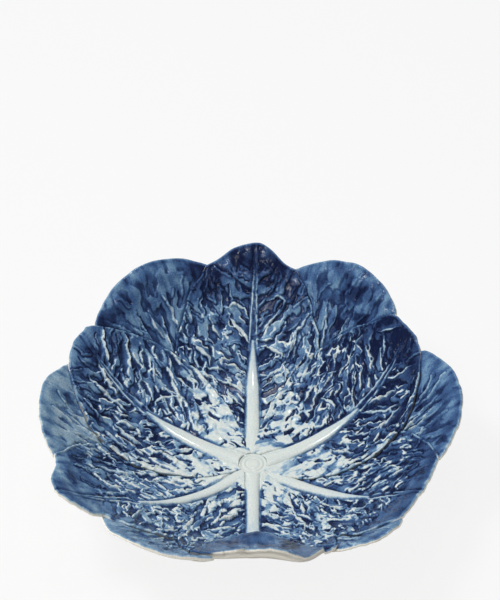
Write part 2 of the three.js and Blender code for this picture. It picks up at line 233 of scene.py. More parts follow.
@dataclass(frozen=True)
class Seam:
    """Line between two inner leaves, and the edges that part from it round an outer leaf.

    Args:
        stalk_heading: Heading of the seam at the stalk.
        parting_heading: Heading where the two leaves part.
        bow: How far the seam bows out between them, in degrees.
        first_notch: Heading of the notch in the rim where the leaf before the seam ends.
        first_sink: Depth of that notch below the rim's radius.
        next_notch: Heading of the notch where the leaf after the seam begins.
        next_sink: Depth of that notch below the rim's radius.
        seed: Start of the seam's noise.
    """

    stalk_heading: float
    parting_heading: float
    bow: float
    first_notch: float
    first_sink: float
    next_notch: float
    next_sink: float
    seed: int

    # Size, length and row in the noise of each sway of the seam
    SWAYS = ((1.6, 17.0, 0.0), (0.9, 6.0, 5.5))
    SWAY_STARTS = (25.0, 50.0)
    FLUTTER = 1.7
    FLUTTER_LENGTH = 9.0
    FLUTTER_ROW = 3.3

    def course(self, bowl: Bowl, radius: Array) -> Array:
        """Heading of the seam, from the stalk to the parting."""
        share = np.clip((radius - bowl.leaf_start) / (bowl.parting_radius - bowl.leaf_start), 0.0, 1.0)
        noise, still = grain(self.seed), np.zeros_like(radius)
        sway = sum(size * noise.at(radius / length, still + row) for size, length, row in self.SWAYS)
        sway = sway * smooth(*self.SWAY_STARTS, radius)
        bowed = self.bow * np.sin(np.pi * share)
        return mix(self.stalk_heading, self.parting_heading, share) + bowed + np.degrees(sway / radius)

    def edge(self, bowl: Bowl, radius: Array, notch: float, sink: float) -> Array:
        """Heading of one leaf's edge: the seam up to the parting, then a sweep to its notch in the rim."""
        way = bowl.rim_radius - sink - bowl.parting_radius
        share = np.clip((radius - bowl.parting_radius) / way, 0.0, 1.0)
        row = np.full_like(radius, self.FLUTTER_ROW)
        flutter = grain(self.seed + int(notch)).at(radius / self.FLUTTER_LENGTH, row)
        flutter = flutter * self.FLUTTER * smooth(0.0, 0.25, share) * smooth(1.0, 0.8, share)
        gone = (notch - self.parting_heading) * share**bowl.edge_sweep
        return self.course(bowl, radius) + gone + np.degrees(flutter / radius)

    def first_edge(self, bowl: Bowl, radius: Array) -> Array:
        """Heading of the edge of the leaf before the seam."""
        return self.edge(bowl, radius, self.first_notch, self.first_sink)

    def next_edge(self, bowl: Bowl, radius: Array) -> Array:
        """Heading of the edge of the leaf after the seam."""
        return self.edge(bowl, radius, self.next_notch, self.next_sink)


@dataclass
class LeafSkin:
    """Fine closed skin of one leaf: an upper grid, a rounded edge and a coarser underside.

    Rows run outwards and columns anticlockwise. Lengths are millimetres from the stalk's foot.
    """

    name: str
    upper: Array
    normals: Array
    lower: Array
    half_edge: Array
    coarse: int
    on_rim: Array
    covered: Array
    marks: Marks

    # Turns of the rings that round the edge off, and how cream each ring is
    EDGE_TURNS = (55.0, 20.0, -20.0, -55.0, -90.0)
    SIDE_CREAM = (0.0, 0.0, 0.0, 1.0, 1.0)
    RIM_CREAM = (0.5, 1.0, 1.0, 1.0, 1.0)

    # Places of the parts on the map for baking
    TOP_MAP = ((0.004, 0.004), (0.756, 0.996))
    BOTTOM_MAP = ((0.85, 0.004), (0.996, 0.996))
    EDGE_MAP = 0.765
    RING_MAP = 0.012
    STITCH_MAP = (0.83, 0.845)
    LAP_MAP = (0.004, 0.996)

    def rim_loop(self, rows: int, columns: int) -> Index:
        """Grid numbers of the outline: inner end, far edge, rim and near edge, in order."""
        index = np.arange(rows * columns).reshape(rows, columns)
        sides = (index[0, :-1], index[:-1, -1], index[-1, :0:-1], index[:0:-1, 0])
        return np.concatenate(sides)

    def edge_rings(self, loop: Index) -> list[Array]:
        """Rings of points that round the outline off from the upper face to the underside."""
        points = self.upper.reshape(-1, 3)[loop]
        normal = self.normals.reshape(-1, 3)[loop]
        half = self.half_edge.reshape(-1)[loop][:, None]
        along = np.roll(points, -1, axis=0) - np.roll(points, 1, axis=0)
        outward = np.cross(normal, along)
        outward = outward + 0.5 * (np.roll(outward, 1, axis=0) + np.roll(outward, -1, axis=0))
        outward = outward / np.maximum(np.linalg.norm(outward, axis=1, keepdims=True), TINY)
        rings = []
        for turn in self.EDGE_TURNS:
            angle = math.radians(turn)
            rings.append(points + half * (outward * math.cos(angle) + normal * (math.sin(angle) - 1.0)))
        return rings

    def build(self, shift: Vector) -> bpy.types.Object:
        """Make the mesh object.

        Args:
            shift: Place of the stalk's foot in the part's frame, in metres.

        Returns:
            The new object, with its marks as point attributes and a map for baking.
        """
        rows, columns = self.upper.shape[:2]
        low_rows, low_columns = self.lower.shape[:2]
        top = np.arange(rows * columns).reshape(rows, columns)
        loop = self.rim_loop(rows, columns)
        count = len(loop)
        rings = self.edge_rings(loop)
        starts = rows * columns + count * np.arange(len(rings) + 1)
        ring_index = [loop, *(start + np.arange(count) for start in starts[:-1])]
        bottom = starts[-1] + np.arange(low_rows * low_columns).reshape(low_rows, low_columns)
        low_loop = starts[-1] + self.rim_loop(low_rows, low_columns)
        verts = np.concatenate([self.upper.reshape(-1, 3), *rings, self.lower.reshape(-1, 3)])

        lap = np.linspace(*self.LAP_MAP, count + 1)
        sheets = [self._grid_faces(top, *self.TOP_MAP, False)]
        sheets.append(self._grid_faces(bottom, *self.BOTTOM_MAP, True))
        for number, (above, below) in enumerate(zip(ring_index, ring_index[1:])):
            sides = [self.EDGE_MAP + self.RING_MAP * step for step in (number, number + 1)]
            sheets.append(self._ring_faces(above, below, sides, lap))
        tris, tri_maps = self._stitch(ring_index[-1], low_loop, lap)

        mesh = bpy.data.meshes.new(self.name)
        quads = np.concatenate([faces for faces, _ in sheets])
        quad_maps = np.concatenate([maps for _, maps in sheets])
        mesh.from_pydata((verts * MM + np.array(shift)).tolist(), [], quads.tolist() + tris.tolist())
        mesh.polygons.foreach_set("use_smooth", np.ones(len(mesh.polygons), dtype=bool))
        maps = np.concatenate([quad_maps.reshape(-1, 2), tri_maps.reshape(-1, 2)])
        mesh.uv_layers.new(name="OFBake").data.foreach_set("uv", maps.astype(np.float32).ravel())
        self._store_marks(mesh, loop)
        mesh.update()
        piece = bpy.data.objects.new(self.name, mesh)
        bpy.context.scene.collection.objects.link(piece)
        return piece

    def _store_marks(self, mesh: bpy.types.Mesh, loop: Index) -> None:
        """Store the marks at the mesh's points: on the upper face, round the edge and underneath.

        Args:
            mesh: Mesh of the leaf.
            loop: Grid numbers of the outline.
        """
        underside = self.lower.shape[0] * self.lower.shape[1]
        for mark, values in self.marks.items():
            edge = values.reshape(-1)[loop]
            parts = [values.reshape(-1), *([edge] * len(self.EDGE_TURNS)), np.zeros(underside)]
            self._attribute(mesh, mark, np.concatenate(parts))
        covered, on_rim = self.covered.reshape(-1), self.on_rim.reshape(-1)[loop]
        under = [covered]
        for side, rim in zip(self.SIDE_CREAM, self.RIM_CREAM):
            under.append(np.maximum(mix(side, rim, on_rim), covered[loop]))
        under.append(np.ones(underside))
        self._attribute(mesh, "under", np.concatenate(under))

    @staticmethod
    def _attribute(mesh: bpy.types.Mesh, name: str, values: Array) -> None:
        """Store one number at each point of the mesh."""
        mesh.attributes.new(name, "FLOAT", "POINT").data.foreach_set("value", values.astype(np.float32))

    @staticmethod
    def _grid_faces(
        index: Index, low: tuple[float, float], high: tuple[float, float], turned: bool
    ) -> tuple[Index, Array]:
        """Faces of a grid.

        Args:
            index: Point numbers of the grid.
            low: Lower corner of the grid's place on the map.
            high: Upper corner of the grid's place on the map.
            turned: Whether the faces look down.

        Returns:
            The faces and their map corners.
        """
        rows, columns = index.shape
        across, up = np.meshgrid(np.linspace(low[0], high[0], columns), np.linspace(low[1], high[1], rows))
        place = np.stack([across, up], axis=-1)
        order = ((0, 0), (1, 0), (1, 1), (0, 1))
        if turned:
            order = order[::-1]

        def pick(grid: NDArray[Any], row: int, column: int) -> NDArray[Any]:
            return grid[row : rows - 1 + row, column : columns - 1 + column]

        faces = np.stack([pick(index, r, c).ravel() for r, c in order], axis=1)
        return faces, np.stack([pick(place, r, c).reshape(-1, 2) for r, c in order], axis=1)

    @staticmethod
    def _ring_faces(above: Index, below: Index, sides: Sequence[float], lap: Array) -> tuple[Index, Array]:
        """Faces between two rings of the edge.

        Args:
            above: Point numbers of the upper ring.
            below: Point numbers of the lower ring.
            sides: Places of the two rings across the map.
            lap: Places of the rings' points along the map.

        Returns:
            The faces and their map corners.
        """
        count = len(above)
        after = (np.arange(count) + 1) % count
        faces = np.stack([above, above[after], below[after], below], axis=1)
        corners = ((sides[0], lap[:-1]), (sides[0], lap[1:]), (sides[1], lap[1:]), (sides[1], lap[:-1]))
        maps = [np.stack([np.full(count, side), way], axis=1) for side, way in corners]
        return faces, np.stack(maps, axis=1)

    def _stitch(self, fine: Index, rough: Index, lap: Array) -> tuple[Index, Array]:
        """Join the edge's last ring to the underside's fewer points.

        Args:
            fine: Point numbers of the last ring.
            rough: Point numbers of the underside's outline.
            lap: Places of the ring's points along the map.

        Returns:
            The triangles and their map corners.
        """
        step = self.coarse
        half = step // 2
        faces, maps = [], []
        left, right = self.STITCH_MAP
        for number, point in enumerate(rough):
            first = number * step
            following = rough[(number + 1) % len(rough)]
            for move in range(step):
                end = point if move < half else following
                end_lap = lap[first] if move < half else lap[first + step]
                faces.append((fine[first + move], fine[(first + move + 1) % len(fine)], end))
                maps.append(((left, lap[first + move]), (left, lap[first + move + 1]), (right, end_lap)))
            faces.append((fine[first + half], following, point))
            maps.append(((left, lap[first + half]), (right, lap[first + step]), (right, lap[first])))
        return np.array(faces), np.array(maps)


@dataclass(frozen=True)
class Vein:
    """Raised vein on a leaf.

    Args:
        course: Places along it, as radius and heading.
        half_width: Half of its width.
        bare: How far its glaze is wiped off.
    """

    course: tuple[tuple[float, float], ...]
    half_width: float = 1.2
    bare: float = 0.9


@dataclass
class Tooling:
    """Hand-tooled ridges and pits on a leaf's grid.

    Args:
        bowl: Bowl on which the leaf lies.
        radius: Radii of the grid points.
        heading: Headings of the grid points.
        seed: Start of the tool's number series.
        stride: Length of one step along a path.
    """

    bowl: Bowl
    radius: Array
    heading: Array
    seed: int
    stride: float = 1.2

    # Size and length of the waves that make the marks ragged
    RAGGED = ((0.9, 5.0), (0.35, 2.0))
    RAGGED_SEED = 900

    RIDGE_REACH = 6.0
    APRON_SPREAD = (2.0, 4.5)
    APRON_RISE = 0.45
    APRON_BARE = 0.9
    # Gap, width and apron-side strength of the dark foot, which is painted shade with pooled glaze
    FOOT_GAP = 0.7
    FOOT_WIDTH = 0.65
    FOOT_BY_APRON = 0.45
    PIT_REACH = 3.0
    PIT_EDGE = 0.5

    # Rise of a vein and what its half width adds, thickness of its ends and unsteadiness of the hand
    VEIN_RISE = 1.3
    VEIN_SWELL = 0.5
    VEIN_TIP = 0.3
    VEIN_TAPER = 7.0
    UNEVEN = (0.7, 1.15)
    SHAKE = 0.55

    # Steepness of the wall at the rim and how it grows, and the smallest radius of a path
    WALL_SLOPE = 1.29
    SLOPE_POWER = 1.9
    NEAREST = 13.0

    def __post_init__(self) -> None:
        """Lay out the grid and clear the marks."""
        self.points = self.bowl.points(self.radius, self.heading).reshape(-1, 3)
        x, y = self.points[:, 0], self.points[:, 1]
        for axis in range(2):
            first = self.seed + self.RAGGED_SEED + 2 * axis
            waves = enumerate(self.RAGGED, first)
            shifts = [size * grain(seed).at(x / wide, y / wide) for seed, (size, wide) in waves]
            self.points[:, axis] += sum(shifts)
        self.rise = np.zeros(len(self.points))
        self.bare = np.zeros(len(self.points))
        self.shade = np.zeros(len(self.points))
        self.pit = np.zeros(len(self.points))
        self.steady = np.zeros(len(self.points))
        self.random = np.random.default_rng(self.seed)
        self.taken: list[Array] = []

    def marks(self) -> Marks:
        """The marks made so far, in the grid's shape."""
        made = {"ridge": self.rise, "wiped": self.bare, "shade": self.shade, "pit": self.pit}
        made["steady"] = self.steady
        return {name: values.reshape(self.radius.shape) for name, values in made.items()}

    def near(self, path: Array, half: Array, reach: float) -> tuple[Index, Array, Array, Array]:
        """Grid points close to a path.

        Args:
            path: Points of the path.
            half: Half widths at those points.
            reach: Distance up to which points count as close.

        Returns:
            Their numbers, their distances from the path, its half width beside them and their side of it.
        """
        low, high = path.min(axis=0) - reach, path.max(axis=0) + reach
        x, y = self.points[:, 0], self.points[:, 1]
        index = np.flatnonzero((x > low[0]) & (x < high[0]) & (y > low[1]) & (y < high[1]))
        start, along = path[:-1], np.diff(path, axis=0)
        offset = self.points[index][:, None, :] - start
        share = (offset * along).sum(axis=2) / np.maximum((along**2).sum(axis=1), TINY)
        share = np.clip(share, 0.0, 1.0)
        gap = ((offset - share[..., None] * along) ** 2).sum(axis=2)
        best = gap.argmin(axis=1)
        row = np.arange(len(index))
        width = mix(half[best], half[best + 1], share[row, best])
        beside, ahead = offset[row, best], along[best]
        side = np.sign(ahead[:, 0] * beside[:, 1] - ahead[:, 1] * beside[:, 0])
        return index, np.sqrt(gap[row, best]), width, side

    def ridge(
        self, path: Array, half: Array, rise: float, bare: float, hollow: float = 0.0, steady: bool = False
    ) -> None:
        """Raise a ridge along a path, with a sloping apron on one side and a dark foot on the other, painted
        as shade together with pooled glaze.

        Args:
            path: Points of the path.
            half: Half widths at those points.
            rise: Height of the ridge.
            bare: How far its glaze is wiped off.
            hollow: Half width of the dip along its middle, 0 for none.
            steady: Whether the wiped crest runs on unbroken.
        """
        if len(path) < 2:
            return
        index, gap, width, side = self.near(path, half, self.RIDGE_REACH + hollow)
        gap = np.abs(gap - hollow) if hollow else gap
        slope = smooth(-0.6, 0.6, side * self.random.choice((-1.0, 1.0)))
        spread = self.random.uniform(*self.APRON_SPREAD)
        crest = smooth(width + 0.3, width - 0.6, gap)
        apron = self.APRON_RISE * slope * smooth(width + spread, width - 0.3, gap)
        self.rise[index] = np.maximum(self.rise[index], rise * np.maximum(crest, apron))
        top = smooth(width + 0.15, width - 0.4, gap)
        wiped = np.maximum(top, self.APRON_BARE * apron)
        self.bare[index] = np.maximum(self.bare[index], bare * wiped)
        if steady:
            self.steady[index] = np.maximum(self.steady[index], bare * top)
        # Dark foot beside the ridge: painted shade, laid together with glaze pooled there
        foot = mix(1.0, self.FOOT_BY_APRON, slope) * swell(gap - width - self.FOOT_GAP, self.FOOT_WIDTH)
        self.shade[index] = np.maximum(self.shade[index], foot)

    def sink(self, path: Array, half: Array, depth: float) -> None:
        """Press a pit along a path."""
        index, gap, width, _ = self.near(path, half, self.PIT_REACH)
        pressed = depth * smooth(width + self.PIT_EDGE, width - self.PIT_EDGE, gap)
        self.pit[index] = np.maximum(self.pit[index], pressed)

    def draw(self, vein: Vein) -> None:
        """Raise one vein, drawn by an unsteady hand."""
        places = np.array(vein.course)
        lengths = np.linalg.norm(np.diff(self.plan(places), axis=0), axis=1)
        span = np.concatenate([[0.0], np.cumsum(lengths)])
        steps = np.linspace(0.0, span[-1], max(3, int(span[-1] / self.stride)))
        radius, heading = (np.interp(steps, span, column) for column in places.T)
        shake = self.random.normal(0.0, self.SHAKE, (2, len(steps)))
        shake = 0.5 * shake + 0.25 * (np.roll(shake, 1, axis=1) + np.roll(shake, -1, axis=1))
        path = self.bowl.points(radius + shake[0], heading + np.degrees(shake[1] / radius))
        ends = np.minimum(np.arange(len(steps)), np.arange(len(steps))[::-1]) * self.stride
        half = vein.half_width * mix(self.VEIN_TIP, 1.0, smooth(0.0, self.VEIN_TAPER, ends))
        half = half * self.random.uniform(*self.UNEVEN, len(steps))
        self.ridge(path, half, self.VEIN_RISE + self.VEIN_SWELL * vein.half_width, vein.bare, steady=True)
        self.taken.append(path[::2])

    def plan(self, places: Array) -> Array:
        """Plan points of places given as radius and heading."""
        angle = np.radians(places[:, 1])
        return np.stack([places[:, 0] * np.cos(angle), places[:, 0] * np.sin(angle)], axis=1)

    def walk(
        self, radius: float, heading: float, lean: float, length: float, sway: float, zigzag: float
    ) -> Array:
        """Points of a wandering path.

        Args:
            radius: Radius of its start.
            heading: Heading of its start.
            lean: Direction of its start, from straight outwards towards greater headings.
            length: Length of the path.
            sway: Spread of the turn at each step.
            zigzag: Turn to and fro at each step.

        Returns:
            Points on the bowl.
        """
        places = [(radius, heading)]
        for step in range(max(2, int(length / self.stride))):
            lean += self.random.normal(0.0, sway)
            turn = math.radians(lean + (zigzag if step % 4 < 2 else -zigzag))
            slope = self.WALL_SLOPE * (radius / self.bowl.rim_radius) ** self.SLOPE_POWER
            radius = max(radius + self.stride * math.cos(turn) / math.hypot(1.0, slope), self.NEAREST)
            heading += math.degrees(self.stride * math.sin(turn) / radius)
            places.append((radius, heading))
        radii, headings = np.array(places).T
        return self.bowl.points(radii, headings)

    def free(self, path: Array, gap: float) -> bool:
        """Whether a path keeps its distance from the ridges drawn so far."""
        if not self.taken:
            return True
        drawn = np.concatenate(self.taken)
        probe = path[:: max(1, len(path) // 3)]
        return bool((((probe[:, None, :] - drawn) ** 2).sum(axis=2) > gap * gap).all())


@dataclass(kw_only=True)
class Leaf:
    """What inner and outer leaves share: the rim's outline and the marks that the glaze reads."""

    name: str
    bowl: Bowl
    seed: int
    reach: float
    tone: float
    rim_tone: float
    fullness: tuple[float, float] = (0.9, 0.9)
    rim_bare: tuple[float, float] = (-2.0, -2.0)
    veins: tuple[Vein, ...] = ()
    blots: tuple[Blot, ...] = ()
    coarse: int = 4
    rim_half_edge: float = 1.6

    # Tones along the rim, size of pools, roll of the rim and strength of dark patches
    BARE_RIM = 1.25
    PALEST_BLUE = 0.75
    RIM_LINE_TONE = 0.78
    RIM_LINE = 0.65
    RIM_LINE_WIDTH = 1.1
    POOL_WINDOW = 4
    POOL_DEPTH = 0.4
    ROLL_WIDTH = 14.0
    ROLL_DROP = 2.0
    STAIN_DARK = 0.34

    def grain(self, number: int) -> Grain:
        """One of the leaf's own noises."""
        return grain(self.seed * 100 + number)

    @staticmethod
    def lobe(across: Array, before: float, after: float, tip: float, fullness: tuple[float, float]) -> Array:
        """Rounded outline of a lobe from -1 to 1 across: two notches and a swelling between them."""
        chord = mix(before, after, (across + 1.0) / 2.0)
        swelling = np.clip(1.0 - across**2, 0.0, 1.0) ** np.where(across < 0.0, *fullness)
        return chord + (tip - (before + after) / 2.0) * swelling

    @staticmethod
    def inward(plate: Array, place: Marks) -> tuple[Array, Array, Array]:
        """Where the edges of plates lie.

        Args:
            plate: Height field of the plates, 0 at their edges.
            place: Places of the grid points.

        Returns:
            Distance inside a plate's edge, below 0 outside it, and the field's slopes outwards and around.
        """
        climb = np.gradient(plate, axis=0) / np.gradient(place["run"], axis=0)
        turn = np.gradient(plate, axis=1) / np.maximum(np.gradient(place["aside"], axis=1), 0.05)
        return plate / np.maximum(np.hypot(climb, turn), 0.09), climb, turn

    @staticmethod
    def blur(values: Array, width: int) -> Array:
        """Mean over a window of the grid, done twice for a soft fall-off."""
        span = 2 * width + 1
        for axis in (0, 1, 0, 1):
            pads = [(0, 0), (0, 0)]
            pads[axis] = (width + 1, width)
            total = np.cumsum(np.pad(values, pads, mode="edge"), axis=axis)
            upper = np.take(total, np.arange(span, total.shape[axis]), axis=axis)
            lower = np.take(total, np.arange(0, total.shape[axis] - span), axis=axis)
            values = (upper - lower) / span
        return values

    def pooled(self, height: Array) -> Array:
        """Where the glaze pools: how far a point lies below the mean height round it."""
        return np.clip((self.blur(height, self.POOL_WINDOW) - height) / self.POOL_DEPTH, 0.0, 1.0)

    def rolled(self, to_rim: Array) -> Array:
        """How far the face rolls over towards the rim."""
        return self.ROLL_DROP * np.clip(1.0 - to_rim / self.ROLL_WIDTH, 0.0, 1.0) ** 2

    def stain(self, place: Marks) -> Array:
        """Dark patches where the glaze ran thick.

        Args:
            place: Places of the grid points.

        Returns:
            Strength of the patches, from 0 to 1.
        """
        points = self.bowl.points(place["radius"], place["heading"])
        ragged = 1.0 + 0.5 * self.grain(40).at(place["aside"] / 4.0, place["run"] / 4.0)
        total = np.zeros_like(place["radius"])
        for radius, heading, size in self.blots:
            middle = self.bowl.points(np.array(radius, dtype=float), np.array(heading, dtype=float))
            gap = np.linalg.norm(points - middle, axis=-1) * ragged
            total = np.maximum(total, smooth(1.35 * size, 0.55 * size, gap))
        return total

    def spots(self, place: Marks, tooling: Tooling, count: int) -> list[dict[str, float]]:
        """Random places on the leaf, spread evenly over its area.

        Args:
            place: Places of the grid points.
            tooling: Tool whose number series is used.
            count: Number of places.

        Returns:
            The values of the grid at each place.
        """
        points = tooling.points.reshape(*place["radius"].shape, 3)
        facing = np.cross(np.gradient(points, axis=0), np.gradient(points, axis=1))
        area = np.linalg.norm(facing, axis=-1).ravel()
        picks = tooling.random.choice(len(area), count, p=area / area.sum())
        return [{key: float(values.flat[pick]) for key, values in place.items()} for pick in picks]

    def wipe(self, tone: Array, bare: Array) -> Array:
        """Tones with the glaze wiped off where the clay is bare."""
        return mix(np.clip(tone, 0.0, self.PALEST_BLUE), 1.0, np.clip(bare, 0.0, 1.0))

    def wipe_rim(self, tone: Array, place: Marks) -> Array:
        """Thin the glaze along the rim's line and wipe it off a band there.

        Args:
            tone: Tones of the grid points.
            place: Places of the grid points.

        Returns:
            The tones with the line and the band.
        """
        line = self.RIM_LINE * swell(place["to_rim"], self.RIM_LINE_WIDTH)
        tone = mix(tone, self.RIM_LINE_TONE, line)
        width = np.linspace(*self.rim_bare, tone.shape[1])[None, :]
        ragged = 0.4 * self.grain(41).at(place["aside"] / 7.0, place["run"] / 9.0)
        band = smooth(width + 0.7, width - 0.7, place["to_rim"] + ragged)
        return mix(tone, self.BARE_RIM, 0.8 * band)

    def through(self, place: Marks) -> Array:
        """Unit directions through the leaf's wall: square to the bowl, and upright at the rim."""
        share = smooth(self.ROLL_WIDTH, 0.0, place["to_rim"])[..., None]
        blend = mix(self.bowl.normals(place["radius"], place["heading"]), np.array((0.0, 0.0, 1.0)), share)
        return blend / np.linalg.norm(blend, axis=-1, keepdims=True)

    def dress(self, piece: bpy.types.Object, glaze: "LeafGlaze") -> None:
        """Give the leaf its glaze and set it in place of its solid."""
        piece.data.materials.append(glaze.material())
        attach(piece, BODY)
        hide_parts(self.name)
        log.info("%s: %d faces", piece.name, len(piece.data.polygons))


@dataclass(kw_only=True)
class InnerLeaf(Leaf):
    """Leaf that runs from the stalk to the rim, with a stout rib and a crinkled blade."""

    before: Seam
    after: Seam
    root: float
    heading: float
    bend: float
    rib_end: float
    vein_end: float
    lap: Lap
    stout: tuple[float, float] = (6.2, 4.9)
    dent: float = 0.0
    dent_at: float = 0.0
    fold_radius: float = 0.0
    plain_from: float = 200.0
    wrap: float = 0.0
    whiteness: float = 0.0
    margin_bare: tuple[float, float] = (0.6, 0.6)
    tries: int = 700
    pits: int = 160
    rows: int = 329
    columns: int = 225
    side_half_edge: float = 0.9
    wall: float = 4.2
    floor_wall: float = 3.2
    rim_wave: float = 0.7
    corner: float = 0.0
    hang: float = 0.0
    seam_white: float = 1.0
    lap_reach: float = 1.3

    # Values by radius, and the crinkles' lean by distance from the rib
    LEAN = ((0.0, 14.0, 38.0, 60.0), (58.0, 40.0, 16.0, 12.0))
    CRINKLE_LENGTH = ((30.0, 60.0, 110.0), (0.65, 0.9, 1.1))
    CRINKLE_GAP = ((30.0, 60.0, 90.0, 120.0), (2.4, 3.0, 3.6, 4.2))
    CRINKLE_BARE = ((90.0, 125.0, 148.0), (0.9, 0.7, 0.25))
    PLATE_BIAS = ((16, 26, 40, 60, 90), (0.62, 0.42, 0.28, 0.14, 0.0))
    FILL_REACH = ((30, 50, 70, 95, 120), (1.5, 1.0, 0.35, 0.05, -0.2))
    WIPED = ((60, 80, 100, 125, 148), (1.0, 0.92, 0.8, 0.62, 0.15))
    PALE_WASH = ((40, 70, 120, 145), (0.3, 0.22, 0.18, 0.0))

    # Turns of the layers of noise that follow the lean
    WEAVE_TURNS = (56.0, 36.0, 16.0)

    def rib_course(self, radius: Array) -> Array:
        """Heading of the rib's middle."""
        bowl = self.bowl
        grown = np.clip((radius - bowl.leaf_start) / (bowl.parting_radius - bowl.leaf_start), 0.0, 1.0)
        lean = np.clip((radius - bowl.parting_radius) / (bowl.rim_radius - bowl.parting_radius), 0.0, 1.0)
        return mix(self.root, self.heading, grown) + self.bend * lean

    def edges(self, radius: Array) -> tuple[Array, Array]:
        """Headings of the leaf's two edges, drawn out over the neighbours where it lies on top."""
        inside = smooth(self.bowl.parting_radius + 3.0, self.bowl.parting_radius - 6.0, radius)
        gap = mix(0.25, -0.2 - self.lap_reach * self.lap.value, inside)
        turn = np.degrees(gap / radius)
        low_corner = self.rounded(radius, self.bowl.rim_radius - self.before.next_sink)
        high_corner = self.rounded(radius, self.bowl.rim_radius - self.after.first_sink)
        low = self.before.next_edge(self.bowl, radius) - self.wrap + turn + low_corner
        high = self.after.first_edge(self.bowl, radius) - turn - high_corner
        return low, high

    def rounded(self, radius: Array, end: float) -> Array:
        """Turn of an edge towards the leaf's middle where the corner at its end is rounded off."""
        near = np.clip((radius - end + self.rim_half_edge) / max(self.corner, 0.1) + 1.0, 0.0, 1.0)
        return np.degrees(self.corner * (1.0 - np.sqrt(1.0 - 0.98 * near**2)) / radius)

    def rim(self, across: Array) -> Array:
        """Radius of the rim across the leaf, with its small waves."""
        bowl = self.bowl
        before = bowl.rim_radius - self.before.next_sink
        after = bowl.rim_radius - self.after.first_sink
        outline = self.lobe(across, before, after, bowl.rim_radius + self.reach, self.fullness)
        dip = np.clip(np.abs(across - self.dent_at) / 0.6, 0.0, 1.0)
        dip = self.dent * np.cos(dip * np.pi / 2.0) ** 2
        wave = self.grain(1).at(across * 3.1, np.full_like(across, 0.7))
        wave = wave * self.rim_wave * smooth(1.0, 0.75, np.abs(across))
        return outline - dip + wave + self.hang * swell(across - 0.42, 0.22) - self.rim_half_edge

    def grid(self, rows: int, columns: int) -> Marks:
        """Places of the leaf's grid points.

        Args:
            rows: Number of rows, from the stalk outwards.
            columns: Number of columns, anticlockwise.

        Returns:
            Radius, heading, distances to the side edges, the rim and the rib, and run along the wall.
        """
        bowl = self.bowl
        shares = np.linspace(0.0, 1.0, rows), np.linspace(-1.0, 1.0, columns)
        out, across = np.meshgrid(*shares, indexing="ij")
        rim = self.rim(across)
        part = 0.6
        floor = mix(bowl.leaf_start - 0.3, bowl.parting_radius, np.clip(out / part, 0.0, 1.0))
        radius = floor + (rim - bowl.parting_radius) * np.clip((out - part) / (1.0 - part), 0.0, 1.0)
        low, high = self.edges(radius)
        rib = self.rib_course(radius)
        middle = np.clip(rib, mix(low, high, 0.2), mix(low, high, 0.8))
        heading = np.where(across < 0.0, mix(middle, low, -across), mix(middle, high, across))
        to_edge = np.radians(np.minimum(heading - low, high - heading)) * radius
        run = bowl.run(radius)
        return {
            "radius": radius,
            "heading": heading,
            "to_edge": to_edge,
            "to_rim": bowl.run(rim) - run,
            "aside": np.radians(heading - rib) * radius,
            "run": run,
        }

    def lean(self, far: Any) -> Any:
        """Turn of the crinkles from straight outwards, less and less away from the rib."""
        return np.interp(far, *self.LEAN)

    def weave(self, number: int, run: Array, aside: Array, wide: float, long: float) -> Array:
        """Noise drawn out along the crinkles' course.

        Args:
            number: Which of the leaf's noises.
            run: Run along the wall.
            aside: Distance from the rib.
            wide: Size of the noise across the crinkles.
            long: Size of the noise along them.

        Returns:
            Noise values, one for each point.
        """
        far = np.abs(aside)
        lean = np.clip(self.lean(far), self.WEAVE_TURNS[-1], self.WEAVE_TURNS[0])
        side = np.where(aside < 0.0, 61.0, 0.0)
        total, power = np.zeros_like(run), np.zeros_like(run)
        for step, turn in enumerate(self.WEAVE_TURNS):
            share = np.clip(1.0 - np.abs(lean - turn) / 20.0, 0.0, 1.0)
            sine, cosine = math.sin(math.radians(turn)), math.cos(math.radians(turn))
            across, along = run * sine - far * cosine, run * cosine + far * sine
            total = total + share * self.grain(number).at(across / wide + side, along / long + 17.0 * step)
            power = power + share**2
        return total / np.sqrt(power)

    def rib_half(self, radius: Any) -> Array:
        """Half width of the stout rib."""
        root, middle = self.stout
        if self.fold_radius:
            return np.interp(radius, (12.0, 30.0, self.rib_end), (root, middle, middle))
        radii = (12.0, 30.0, 0.68 * self.rib_end, self.rib_end)
        return np.interp(radius, radii, (root, 0.5 * (root + middle), middle, 1.0))

    def tool(self, place: Marks) -> Tooling:
        """Draw the veins, the crinkles between them and the pits near the stalk.

        Args:
            place: Places of the grid points.

        Returns:
            The tool with its marks.
        """
        tooling = Tooling(self.bowl, place["radius"], place["heading"], self.seed)
        for vein in self.veins:
            tooling.draw(vein)
        for spot in self.spots(place, tooling, self.tries):
            inside = spot["to_rim"] >= 15.0 and spot["to_edge"] >= 0.5
            beside_rib = abs(spot["aside"]) < self.rib_half(spot["radius"]) + 2.0
            if inside and not beside_rib and 45.0 <= spot["radius"] <= self.plain_from:
                self.crinkle(tooling, spot)
        random = tooling.random
        for spot in self.spots(place, tooling, self.pits):
            radius = spot["radius"]
            if not 20.0 < radius < 78.0 or abs(spot["aside"]) < self.rib_half(radius) + 1.5:
                continue
            bend, length = random.uniform(0.0, 360.0), random.uniform(2.0, 8.0)
            squiggle = tooling.walk(radius, spot["heading"], bend, length, 34.0, 0.0)
            tooling.sink(squiggle, random.uniform(0.35, 0.95, len(squiggle)), random.uniform(0.5, 1.0))
        return tooling

